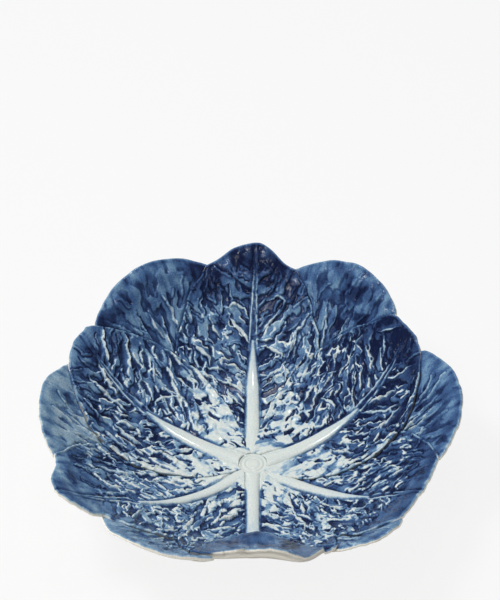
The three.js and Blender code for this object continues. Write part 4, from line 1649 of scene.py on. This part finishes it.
@dataclass
class Foot:
    """Base saucer and foot ring under the leaves."""

    bowl: Bowl
    base_radius: float = 87.5
    base_top: float = 3.6
    base_wall: float = 3.2
    foot_inset: float = 3.0
    foot_width: float = 9.0
    sole_width: float = 5.5
    seat_gap: float = 0.3
    sole_inset: float = 1.2
    bevel: float = 0.25
    heel: float = 1.1
    steps: int = 24
    heading: float = 90.0

    def floor(self, radius: float, depth: float) -> float:
        """Height of a face that lies at a depth under the bowl."""
        return float(self.bowl.height(np.array([radius]), np.array([self.heading]))[0]) - depth

    def build(self, shift: Vector, finish: PlainGlaze) -> list[bpy.types.Object]:
        """Make the base and the foot ring.

        Args:
            shift: Place of the stalk's foot in the part's frame, in metres.
            finish: Finish of both.

        Returns:
            The two objects.
        """
        radii = np.linspace(0.0, self.base_radius, self.steps)
        sole = self.base_top + self.base_wall
        under = [(float(r), self.floor(r, sole)) for r in radii]
        over = [(float(r), self.floor(r, self.base_top)) for r in radii[::-1]]
        saucer = Turned("base_saucer", "base", under + over, finish, Slot.CREAM).build(shift)
        profile = self.ring_profile(sole + self.seat_gap)
        ring = Turned("turned_foot", "foot_ring", profile, finish, Slot.CREAM).build(shift)
        return [saucer, ring]

    def ring_profile(self, depth: float) -> list[tuple[float, float]]:
        """Profile of the foot ring, whose top lies at a depth under the bowl."""
        outer = self.base_radius - self.foot_inset
        inner = outer - self.foot_width
        middle = (inner + outer) / 2.0
        draft = (self.foot_width - self.sole_width) / 2.0
        outer_side, inner_side = outer - draft, inner + draft
        top, inner_top = self.floor(outer, depth), self.floor(inner, depth)
        sole_start = (inner_side + self.sole_inset, 0.0)
        profile = [sole_start, (outer_side - self.sole_inset, 0.0), (outer_side - 0.5, self.bevel)]
        profile += [(outer_side, self.heel), (outer_side - 0.2, top * 0.3), (outer_side, top * 0.6)]
        profile += [(outer - draft * 0.5, top * 0.85), (outer, top), (middle, self.floor(middle, depth))]
        profile += [(inner, inner_top), (inner + draft * 0.8, inner_top * 0.5), (inner_side, self.heel)]
        return profile + [(inner_side + 0.4, self.bevel), sole_start]


@dataclass(frozen=True)
class Lamp:
    """Square soft lamp."""

    name: str
    place: tuple[float, float, float]
    size: float
    power: float
    mirrored: bool = True
    target: tuple[float, float, float] = (0.0, 0.0, 0.04)

    def hang(self) -> None:
        """Add the lamp to the scene."""
        data = bpy.data.lights.new(self.name, "AREA")
        data.size = self.size
        data.energy = self.power
        lamp = bpy.data.objects.new(self.name, data)
        lamp.location = self.place
        way = Vector(self.target) - Vector(self.place)
        lamp.rotation_euler = way.to_track_quat("-Z", "Y").to_euler()
        lamp.visible_glossy = self.mirrored
        bpy.context.scene.collection.objects.link(lamp)


@dataclass
class Studio:
    """Pale floor, soft light and the camera at the photograph's viewing angle."""

    elevation: float = 41.5
    focal_px: float = 2233.5
    stand_off: float = 1.7
    image: tuple[int, int] = (500, 600)
    boss_px: tuple[float, float] = (253.0, 465.0)
    sensor_width: float = 36.0
    far_clip: float = 20.0
    floor_side: float = 6.0
    floor_white: Colour = (0.92, 0.92, 0.92)
    ground_level: float = 0.933
    shadow: float = 0.08
    world_level: float = 0.32
    mirror_loss: float = 0.75
    lamps: tuple[Lamp, ...] = (
        Lamp("overhead", (-0.8, 0.1, 1.5), 0.5, 23.0, mirrored=False),
        Lamp("spark", (0.0, 0.35, 1.7), 0.2, 4.0),
        Lamp("spark_left", (-0.5, -0.9, 1.5), 0.1, 1.5),
        Lamp("sheen", (-0.15, -1.1, 1.65), 0.12, 1.2),
    )

    def camera(self, boss: Vector) -> bpy.types.Object:
        """Set the camera so that the boss falls on its pixel.

        Args:
            boss: Middle of the floor of the dish, in metres.

        Returns:
            The camera.
        """
        tilt = math.radians(self.elevation)
        forward = Vector((0.0, math.cos(tilt), -math.sin(tilt)))
        up = Vector((0.0, math.sin(tilt), math.cos(tilt)))
        width, height = self.image
        ray = forward + Vector((1.0, 0.0, 0.0)) * (self.boss_px[0] - width / 2) / self.focal_px
        ray = ray + up * (height / 2 - self.boss_px[1]) / self.focal_px
        lens = bpy.data.cameras.new("camera")
        lens.sensor_width = self.sensor_width
        lens.lens = self.focal_px / height * lens.sensor_width
        lens.clip_end = self.far_clip
        camera = bpy.data.objects.new("camera", lens)
        camera.location = boss - ray.normalized() * self.stand_off
        camera.rotation_euler = (math.pi / 2 - tilt, 0.0, 0.0)
        bpy.context.scene.collection.objects.link(camera)
        bpy.context.scene.camera = camera
        return camera

    def floor(self) -> bpy.types.Object:
        """Pale floor that reads as the photograph's white ground and keeps the dish's shadow."""
        mesh = bpy.data.meshes.new("floor")
        side = self.floor_side
        corners = [(-side, -side, 0), (side, -side, 0), (side, side, 0), (-side, side, 0)]
        mesh.from_pydata(corners, [], [(0, 1, 2, 3)])
        shader = Shader(bpy.data.materials.new("floor_paper"))
        path = shader.node("ShaderNodeLightPath", {}, {}, "Is Camera Ray")
        paper = shader.node("ShaderNodeBsdfDiffuse", {}, {"Color": self.floor_white})
        level = (self.ground_level, self.ground_level, self.ground_level)
        glow = shader.node("ShaderNodeEmission", {}, {"Color": level, "Strength": 1.0})
        shown = shader.node("ShaderNodeMixShader", {}, {0: path * (1.0 - self.shadow), 1: paper, 2: glow})
        mesh.materials.append(shader.finish(shown))
        ground = bpy.data.objects.new("floor", mesh)
        bpy.context.scene.collection.objects.link(ground)
        return ground

    def light(self) -> None:
        """Soft light from all round, a large lamp overhead and small ones for the glaze's sparks."""
        world = bpy.data.worlds.new("studio")
        bpy.context.scene.world = world
        shader = Shader(world)
        mirrored = shader.node("ShaderNodeLightPath", {}, {}, "Is Glossy Ray")
        strength = self.world_level * (1 - mirrored * self.mirror_loss)
        inputs = {"Color": (1.0, 1.0, 1.0), "Strength": strength}
        shader.finish(shader.node("ShaderNodeBackground", {}, inputs))
        for lamp in self.lamps:
            lamp.hang()
        bpy.context.scene.view_settings.view_transform = "Standard"


# Side veins: radius and heading along each one, its half width and how far it is wiped
BACK_VEINS = (
    Vein(((110, 91), (116, 93.5), (122, 96), (128, 98.5)), 1.7, 0.95),
    Vein(((126, 91.5), (133, 93), (136, 96.5), (133, 99.5)), 1.2, 0.9),
    Vein(((98, 109.5), (104, 110), (110, 112), (115, 114)), 1.9, 0.9),
    Vein(((116, 103), (122, 104.5), (129, 105.5)), 1.4, 0.9),
    Vein(((99.5, 99), (100.5, 103), (99, 107)), 1.2, 0.85),
    Vein(((90, 95.5), (94, 99), (97, 103.5)), 1.5, 0.9),
    Vein(((72, 96.5), (77, 99), (81, 103), (85, 108)), 1.5, 0.95),
    Vein(((92, 104), (95, 108), (97, 113)), 1.2, 0.8),
    Vein(((88, 112), (94, 115.5), (99, 116.5)), 1.8, 0.9),
    Vein(((132, 107), (139, 107.5), (143, 106)), 1, 0.7),
    Vein(((118, 87), (123, 84.5), (129, 81.5)), 1.5, 0.9),
    Vein(((132.5, 88.5), (138, 86)), 1, 0.8),
    Vein(((137, 85.5), (141, 81.5), (139, 79.5), (133, 80)), 1, 0.7),
    Vein(((112, 87), (113, 82.5)), 1.6, 0.9),
    Vein(((108, 86.5), (105.5, 80), (102.5, 76)), 1.3, 0.85),
    Vein(((82, 85), (88, 80.5), (93, 77)), 1.2, 0.9),
    Vein(((84, 82), (90, 77.5)), 0.9, 0.8),
    Vein(((73, 83), (77, 78.5)), 1.4, 0.9),
    Vein(((102, 75), (112, 73.5), (119, 74), (127, 71.5), (133, 70.5)), 1.2, 0.75),
    Vein(((119, 77.5), (124, 74.5), (129, 73)), 1, 0.7),
    Vein(((60, 98), (66, 101), (72, 105)), 1.4, 0.9),
    Vein(((146, 97.5), (139, 97), (134, 98)), 0.9, 0.6),
    Vein(((143, 100), (137, 100.5), (131, 101)), 0.9, 0.6),
)
BACK_RIGHT_VEINS = (
    Vein(((119, 38), (124, 42), (128, 46)), 1, 0.8),
    Vein(((129, 38.5), (136, 41), (141, 43.5)), 1, 0.8),
    Vein(((139, 45), (143, 42.5), (147, 40)), 1, 0.8),
    Vein(((119, 35), (125, 32.5)), 1.2, 0.85),
    Vein(((123, 30), (126, 28.5), (132, 27.5), (138, 27)), 1, 0.8),
    Vein(((101, 27), (107, 26.5), (113, 25), (121, 24)), 1.5, 0.9),
    Vein(((93, 26), (99, 22.5), (107, 19), (117, 17.5)), 1.3, 0.9),
    Vein(((118, 17), (108, 14), (101, 12.5), (95, 11)), 1.1, 0.85),
    Vein(((142, 25), (137, 22), (131, 18), (121, 14)), 0.9, 0.75),
    Vein(((128, 21), (134, 22.5)), 0.9, 0.7),
    Vein(((119, 21), (126, 19)), 0.9, 0.7),
    Vein(((81, 48), (83, 43), (82, 38)), 1.6, 0.95),
    Vein(((72, 56), (80, 57), (87, 56)), 1.6, 0.95),
    Vein(((88, 50), (94, 49), (100, 51)), 1.2, 0.9),
    Vein(((95, 43), (100, 45), (98, 48)), 1.1, 0.85),
    Vein(((104, 41), (108, 44), (113, 45)), 1, 0.85),
    Vein(((110, 47), (116, 49), (122, 48.5)), 1, 0.8),
    Vein(((124, 49.5), (131, 50), (136, 49)), 1, 0.7),
    Vein(((106, 53), (113, 55), (118, 54)), 1.2, 0.85),
    Vein(((88, 37), (93, 39), (97, 38)), 1.2, 0.9),
    Vein(((80, 16), (87, 13), (92, 12)), 1.3, 0.9),
    Vein(((70, 13), (76, 10), (80, 8)), 1.6, 0.9),
    Vein(((60, 9), (68, 4.5), (76, 2.5)), 1.4, 0.9),
)
BACK_LEFT_VEINS = (
    Vein(((100, 148.5), (107, 145), (112, 142), (117, 140)), 1, 0.6),
    Vein(((95, 149), (98, 145)), 1.5, 0.95),
    Vein(((91, 147), (92, 141), (88, 136), (84, 134)), 1.3, 0.9),
    Vein(((90, 144), (86, 140)), 1, 0.8),
    Vein(((73, 138), (79, 135.5), (86, 133.5), (94, 131), (101, 129.5)), 1.6, 0.95),
    Vein(((104, 129), (110, 126.5), (114, 126)), 1.4, 0.85),
    Vein(((138, 136.5), (131, 138), (126, 140), (123, 141.5), (118, 143)), 1.3, 0.9),
    Vein(((150, 141), (144, 143.5), (138, 146), (131, 148)), 1.3, 0.85),
    Vein(((121, 146), (115, 147)), 1, 0.7),
    Vein(((127, 133.5), (121, 136), (116, 138)), 1.2, 0.8),
    Vein(((115, 133.5), (110, 135.5), (104, 138)), 1.2, 0.85),
    Vein(((142, 134), (136, 132), (131, 130)), 0.9, 0.6),
    Vein(((116, 156), (122, 154.5), (130, 153), (136, 151)), 1.8, 0.9),
    Vein(((104, 160), (112, 159.5), (120, 159), (128, 158.5), (136, 158)), 1.5, 0.85),
    Vein(((96, 157), (101, 159)), 1.3, 0.95),
    Vein(((100, 161), (107, 163), (112, 163)), 1.1, 0.8),
    Vein(((92, 166), (98, 167), (105, 166.5), (112, 165)), 1.3, 0.8),
    Vein(((84, 174), (92, 174), (100, 172), (108, 170)), 1.3, 0.8),
    Vein(((66, 170), (73, 169), (79, 170)), 1.2, 0.9),
    Vein(((62, 178), (70, 176), (76, 177)), 1.5, 0.95),
    Vein(((72, 146), (78, 144)), 1.5, 0.9),
    Vein(((66, 143), (71, 141)), 1.4, 0.9),
    Vein(((113, 175), (105, 178), (98, 181)), 1.2, 0.7),
    Vein(((118, 171), (126, 168.5), (133, 167)), 0.9, 0.6),
)
FRONT_LEFT_VEINS = (
    Vein(((101, 190), (107, 188.5), (112, 186.5), (118, 184.5)), 1, 0.85),
    Vein(((100, 207), (107, 206.5), (115, 205.5), (124, 203)), 1, 0.7),
    Vein(((102, 209), (112, 209), (122, 207)), 0.9, 0.6),
    Vein(((79, 200), (75, 204), (72, 209)), 1.6, 0.9),
    Vein(((83, 201), (80, 206)), 1.3, 0.8),
    Vein(((68, 199), (63, 203)), 1.6, 0.9),
    Vein(((97, 197), (105, 196), (114, 195), (122, 195)), 1.2, 0.7),
    Vein(((102, 193), (110, 192), (118, 191)), 1.1, 0.7),
    Vein(((126, 193), (132, 194.5), (137, 195)), 0.9, 0.6),
    Vein(((100, 220), (96, 224), (92, 227)), 1.2, 0.9),
    Vein(((94, 219), (90, 223)), 1.2, 0.9),
    Vein(((88, 222), (85, 227), (83, 230)), 1.5, 0.95),
    Vein(((105, 219), (112, 221), (121, 224)), 1, 0.7),
    Vein(((99, 228), (104, 230), (110, 233)), 1, 0.8),
    Vein(((80, 225), (77, 231)), 1.4, 0.9),
)
FRONT_VEINS = (
    Vein(((60, 258), (66, 252), (70, 247)), 1.8, 0.95),
    Vein(((74, 258), (80, 252), (86, 247)), 1.6, 0.95),
    Vein(((88, 262), (92, 256), (94, 250)), 1.4, 0.9),
    Vein(((50, 262), (54, 256)), 1.6, 0.95),
    Vein(((58, 280), (63, 286), (66, 293)), 1.8, 0.95),
    Vein(((70, 277), (76, 282), (80, 290)), 1.6, 0.95),
    Vein(((84, 276), (89, 282), (91, 289)), 1.3, 0.9),
    Vein(((78, 293), (84, 297), (90, 299)), 1.4, 0.9),
    Vein(((94, 275), (97, 283), (99, 291)), 1.1, 0.85),
    Vein(((46, 283), (50, 290)), 1.6, 0.95),
    Vein(((66, 300), (72, 302), (79, 303)), 1.6, 0.95),
)
FRONT_RIGHT_VEINS = (
    Vein(((70, 341), (76, 345)), 1, 0.9),
    Vein(((75, 338), (82, 342.5)), 1, 0.9),
    Vein(((80, 337), (88, 342)), 1, 0.9),
    Vein(((85, 335.5), (93, 341)), 0.9, 0.85),
    Vein(((91, 335), (98, 340)), 0.9, 0.85),
    Vein(((88, 344), (95, 347)), 1, 0.85),
    Vein(((93, 350), (99, 353), (104, 351)), 1.1, 0.85),
    Vein(((100, 345), (108, 347.5), (116, 348.5)), 0.8, 0.75),
    Vein(((103, 342), (112, 344.5), (120, 346)), 0.8, 0.7),
    Vein(((108, 340), (117, 343), (124, 344.5)), 0.8, 0.6),
    Vein(((78, 316), (84, 318), (90, 319)), 1.2, 0.9),
    Vein(((84, 313), (91, 315)), 1.3, 0.9),
    Vein(((70, 313), (76, 311)), 1.4, 0.9),
    Vein(((95, 318), (101, 321), (107, 324)), 1, 0.8),
    Vein(((93, 311), (99, 313), (106, 316)), 1, 0.75),
)
OUTER_BACK_RIGHT_VEINS = (
    Vein(((113, 62), (122, 63), (132, 64), (142, 66)), 1.2, 0.7),
    Vein(((116, 59.5), (126, 58), (136, 57.5)), 1.2, 0.7),
    Vein(((120, 66), (130, 68.5), (140, 71), (148, 73)), 1, 0.6),
)
OUTER_BACK_LEFT_VEINS = (
    Vein(((112, 121), (120, 119), (130, 117), (140, 117.5), (148, 119)), 1.2, 0.8),
    Vein(((114, 120.5), (122, 122), (130, 122), (138, 121.5)), 1.2, 0.85),
    Vein(((125, 124), (134, 125), (143, 125)), 1.2, 0.7),
    Vein(((120, 113.5), (128, 111.5), (136, 110), (145, 110)), 1, 0.6),
    Vein(((128, 128), (137, 129), (146, 129)), 1, 0.6),
)
OUTER_LEFT_VEINS = (
    Vein(((113, 181), (121, 180), (130, 178.5), (139, 177.5)), 1, 0.7),
    Vein(((118, 176), (127, 173.5), (135, 172)), 1, 0.6),
    Vein(((122, 186), (130, 185.5)), 0.9, 0.5),
)
OUTER_RIGHT_VEINS = (
    Vein(((112, 365), (120, 366.5), (130, 368.5), (140, 370)), 1, 0.85),
    Vein(((114, 363), (122, 364), (132, 366), (138, 367.5)), 1, 0.8),
    Vein(((120, 358), (128, 361), (136, 363)), 0.9, 0.7),
)


@dataclass
class Dish:
    """The whole dish: seams, inner leaves, outer leaves, boss, base and foot."""

    bowl: Bowl = field(default_factory=Bowl)

    OUTER_SEED = 20

    def seams(self) -> list[Seam]:
        """Seams between the inner leaves, anticlockwise from the back right leaf."""
        return [
            Seam(80.0, 62.5, 3.0, 43.8, 8.3, 78.5, 3.0, 11),
            Seam(108.0, 122.5, -4.0, 102.5, 0.7, 143.2, 8.0, 12),
            Seam(205.0, 182.0, 1.0, 158.3, 10.4, 197.0, 9.5, 13),
            Seam(244.0, 241.0, -7.0, 220.8, 20.0, 261.0, 9.0, 14),
            Seam(306.0, 301.0, 5.0, 296.0, 24.0, 315.0, 13.0, 15),
            Seam(328.0, 366.0, -1.0, 344.0, 19.5, 390.0, 13.0, 16),
        ]

    def inner_leaves(self, seams: list[Seam]) -> list[InnerLeaf]:
        """Inner leaves, anticlockwise from the back right one."""
        back_right, back_left, left, front_left, front_right, right = seams
        return [
            InnerLeaf(
                name="inner_leaf_back_right", bowl=self.bowl, seed=1,
                before=right, after=back_right, wrap=360.0, root=20, heading=31, bend=7,
                reach=-8.8, fullness=(0.55, 0.55), rib_end=94, vein_end=144,
                stout=(6.6, 5.4), lap=Lap.OVER,
                tone=0.21, rim_tone=0.22, whiteness=0.18, margin_bare=(0.4, 0.4),
                veins=BACK_RIGHT_VEINS, blots=((150, 46, 10), (143, 38, 9), (130, 33, 7)),
            ),
            InnerLeaf(
                name="inner_leaf_back", bowl=self.bowl, seed=2,
                before=back_right, after=back_left, root=90, heading=90, bend=-1,
                reach=8.2, fullness=(2.0, 1.4), rim_wave=0.4, rib_end=113, vein_end=158, lap=Lap.UNDER,
                tone=0.42, rim_tone=0.24, whiteness=-0.24, margin_bare=(0.7, 0.15),
                veins=BACK_VEINS, blots=((155, 82, 7), (160, 95, 6), (148, 86, 5)),
            ),
            InnerLeaf(
                name="inner_leaf_back_left", bowl=self.bowl, seed=3,
                before=back_left, after=left, root=157, heading=152, bend=-4,
                reach=-5, fullness=(0.5, 0.5), rib_end=93, vein_end=145,
                stout=(6.6, 5.4), lap=Lap.OVER,
                tone=0.42, rim_tone=0.52, margin_bare=(0.4, 0.4),
                veins=BACK_LEFT_VEINS, blots=((143, 150, 5), (139, 151.5, 4), (83, 164, 7)),
            ),
            InnerLeaf(
                name="inner_leaf_front_left", bowl=self.bowl, seed=4,
                before=left, after=front_left, root=228, heading=212, bend=1,
                reach=5.5, fullness=(2.2, 0.6), rib_end=102, vein_end=150,
                stout=(5.6, 3.8), lap=Lap.UNDER, plain_from=128.0,
                tone=0.47, rim_tone=0.53, rim_bare=(-1.0, -0.2),
                veins=FRONT_LEFT_VEINS, blots=((135, 196, 7), (145, 205, 5)),
            ),
            InnerLeaf(
                name="inner_leaf_front", bowl=self.bowl, seed=5,
                before=front_left, after=front_right, root=270, heading=270, bend=2,
                reach=-2, fullness=(1.8, 1.8), dent=10.0, dent_at=-0.2, hang=4.0, corner=5.0,
                fold_radius=84.0, rib_end=86, vein_end=92,
                stout=(5.4, 4.8), lap=Lap.OVER, wall=2.8,
                tone=0.4, rim_tone=0.36, whiteness=-0.2, margin_bare=(0.25, 0.25), seam_white=0.5,
                veins=FRONT_VEINS, blots=((104, 286, 8), (114, 283, 7)),
            ),
            InnerLeaf(
                name="inner_leaf_front_right", bowl=self.bowl, seed=6,
                before=front_right, after=right, root=325, heading=330, bend=-4,
                reach=-17.5, corner=3.0, rib_end=100, vein_end=138,
                stout=(6.0, 4.2), lap=Lap.UNDER, plain_from=122.0,
                tone=0.28, rim_tone=0.36, rim_bare=(-0.6, -0.2), whiteness=0.16,
                veins=FRONT_RIGHT_VEINS, blots=((118, 332, 8), (130, 338, 6)),
            ),
        ]

    def outer_leaves(self, seams: list[Seam]) -> list[OuterLeaf]:
        """Outer leaves, one behind each parting."""
        looks: list[dict[str, Any]] = [
            {
                "name": "outer_leaf_back_right",
                "reach": 6.6, "fullness": (0.75, 1.5),
                "tone": 0.44, "rim_tone": 0.5, "folded": 0.9,
                "veins": OUTER_BACK_RIGHT_VEINS, "blots": ((150, 58, 8), (140, 53, 6), (133, 60, 4)),
            },
            {
                "name": "outer_leaf_back_left",
                "reach": 6.8, "fullness": (1.1, 1.1),
                "tone": 0.48, "rim_tone": 0.49, "rim_bare": (-2.0, -1.5), "folded": 0.8,
                "veins": OUTER_BACK_LEFT_VEINS, "blots": ((155, 107, 9), (150, 138, 8), (152, 141, 6)),
            },
            {
                "name": "outer_leaf_left",
                "reach": -1.5, "fullness": (1.4, 1.2),
                "tone": 0.75, "rim_tone": 0.7, "rim_bare": (-1.3, -0.5),
                "veins": OUTER_LEFT_VEINS, "blots": ((131, 166, 3), (140, 171, 6)),
            },
            {
                "name": "outer_leaf_front_left",
                "reach": 5.5, "fullness": (1.2, 1.0), "tuck": (1.0, 8.0),
                "tone": 0.56, "rim_tone": 0.6, "rim_bare": (-0.4, -1.2),
            },
            {
                "name": "outer_leaf_front_right",
                "reach": -4.0, "fullness": (1.1, 1.1), "tuck": (6.0, 1.0),
                "tone": 0.46, "rim_tone": 0.56, "rim_bare": (-1.2, -0.4),
            },
            {
                "name": "outer_leaf_right",
                "reach": -3.0, "fullness": (1.3, 1.15),
                "tone": 0.42, "rim_tone": 0.5, "rim_bare": (-0.2, -1.8), "folded": 0.3,
                "veins": OUTER_RIGHT_VEINS, "blots": ((128, 375, 7), (140, 352, 5)),
            },
        ]
        return [
            OuterLeaf(bowl=self.bowl, seed=seed, seam=seam, **look)
            for seed, (seam, look) in enumerate(zip(seams, looks), self.OUTER_SEED)
        ]

    def build(self, shift: Vector) -> None:
        """Make and place every piece.

        Args:
            shift: Place of the stalk's foot in the part's frame, in metres.
        """
        seams = self.seams()
        glaze = LeafGlaze()
        for leaf in (*self.inner_leaves(seams), *self.outer_leaves(seams)):
            leaf.dress(leaf.skin().build(shift), glaze)
        white = PlainGlaze("boss_glaze", linear(207, 212, 206), linear(193, 202, 200), 0.14)
        cream = PlainGlaze("cream_glaze", linear(222, 216, 200), linear(205, 196, 176), 0.3, 24.0)
        StalkBoss(self.bowl).build(shift, white)
        Foot(self.bowl).build(shift, cream)


def stalk_foot() -> Vector:
    """Place of the stalk's foot on the table, from the boss's solid."""
    low, high = (Vector(corner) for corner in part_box("stalk_boss"))
    middle = (low + high) / 2.0
    return Vector((middle.x, middle.y, 0.0))


def main() -> None:
    """Build the dish and its studio and note the sizes."""
    logging.basicConfig(level=logging.INFO, format="%(name)s: %(message)s")
    shift = stalk_foot()
    dish = Dish()
    dish.build(shift)
    studio = Studio()
    studio.floor()
    studio.light()
    studio.camera(shift + Vector((0.0, 0.0, dish.bowl.floor_height * MM)))


if __name__ == "__main__":
    main()
